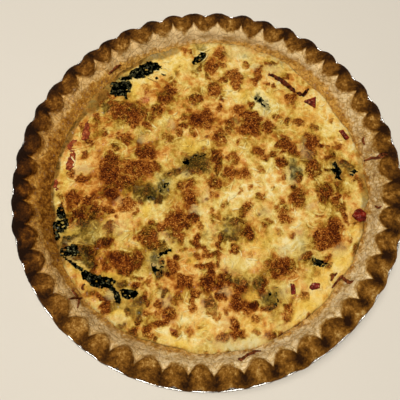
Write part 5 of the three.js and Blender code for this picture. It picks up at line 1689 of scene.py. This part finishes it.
# %% Burnt shreds on the pastry
# Their thickness in millimetres, and their line as spots of the picture.
SHREDS = [
    (1.7, [(109, 74.5), (113, 70.5), (117, 67), (121, 65)]),
    (1.5, [(72, 290), (74, 293), (76.5, 296.5), (79, 298)]),
    (1.6, [(69, 299), (74, 298.5), (78, 298.5), (82, 298)]),
    (1.5, [(79.5, 298), (78.5, 302), (77, 308)]),
    (1.0, [(85, 284), (82.5, 286), (82, 288.5), (84, 290)]),
    (2.5, [(238, 359.5), (243, 359), (249, 355), (255, 353)]),
    (1.7, [(249, 356), (254, 352), (261, 351)]),
    (1.7, [(364, 161), (372, 158), (379, 158.5), (388, 155)]),
    (1.5, [(376, 158), (382, 154), (387, 155)]),
    (1.6, [(364, 137), (363, 141), (365, 145)]),
    (2.2, [(341, 276), (345, 280), (350, 282.5), (353, 281.5)]),
    (1.4, [(332, 288), (335, 284), (340, 278), (343, 275)]),
    (1.4, [(331, 281), (333, 276.5), (337, 273)]),
    (1.3, [(375, 206), (379, 208), (381, 206)]),
]
SHRED_LIFT = 0.2 * MM


def inside_height(radius, angle):
    """Height of the pastry's inside at a radius and an angle."""
    column = round((angle - FIRST_PINCH) / (2 * pi) * COLUMNS) % COLUMNS
    curve = [along(chains[column], FILL_LINE - step / 12) for step in range(49)]
    radii, heights = zip(*curve)
    return float(np.interp(radius, radii, heights))


def on_case(across, down):
    """The point of the pastry's inside, or of the filling, that shows at this spot of the picture."""
    point = seen_at(across, down, RIM_TOP)
    for _ in range(12):
        angle = atan2(point.y, point.x)
        height = max(inside_height(hypot(point.x, point.y), angle), float(fill_height(point.x, point.y)))
        point = seen_at(across, down, lerp(point.z, height, 0.6))
    return point + Vector((0, 0, SHRED_LIFT))


bm = bmesh.new()
for number, (thickness, line) in enumerate(SHREDS):
    add_rod(bm, [on_case(*spot) for spot in line], thickness * MM, number, sides=8, steps=16)
roughen(bm, 0.3 * MM, 0.9 * MM, 4)
make_piece("burnt_shreds", bm, strip_finish("shreds", (72, 30, 12), (142, 76, 36), 0.5))

# %% [markdown]
# ## The floor and the light
#
# The quiche stands on a plain pale floor. One large soft lamp from the upper left gives the shape of
# the flutes and the blisters, a second, wider one from the front fills the shadows, and a pale sky
# does the rest.

# %% A floor and a lamp


def floor_finish():
    ground = Finish("floor")
    paper = ground.grain(0.2)
    shade = ground.mix(paper, tint(214, 208, 196), tint(220, 214, 203))
    return ground.done(shade, 0.7, paper, strength=0.1, distance=0.0002)


def make_floor():
    bm = bmesh.new()
    bmesh.ops.create_grid(bm, x_segments=8, y_segments=8, size=1.5)
    mesh = bpy.data.meshes.new("floor")
    bm.to_mesh(mesh)
    bm.free()
    mesh.materials.append(floor_finish())
    ground = bpy.data.objects.new("floor", mesh)
    bpy.context.scene.collection.objects.link(ground)


def lamp(name, place, size, power, colour):
    data = bpy.data.lights.new(name, "AREA")
    data.shape = "DISK"
    data.size = size
    data.energy = power
    data.color = colour
    light = bpy.data.objects.new(name, data)
    light.matrix_world = Matrix.Translation(place) @ (
        Vector(place).to_track_quat("Z", "Y").to_matrix().to_4x4()
    )
    bpy.context.scene.collection.objects.link(light)


# %% Set up the stage
make_floor()
lamp("key", (-0.18, 0.05, 0.96), 0.3, 7.0, (1.0, 0.96, 0.9))
lamp("fill", (0.12, -0.3, 1.0), 0.7, 3.0, (1.0, 0.95, 0.88))
world = bpy.data.worlds.new("sky")
bpy.context.scene.world = world
world.use_nodes = True
world.node_tree.nodes["Background"].inputs["Color"].default_value = (1.0, 0.97, 0.93, 1)
world.node_tree.nodes["Background"].inputs["Strength"].default_value = 0.18
bpy.context.scene.view_settings.view_transform = "Standard"
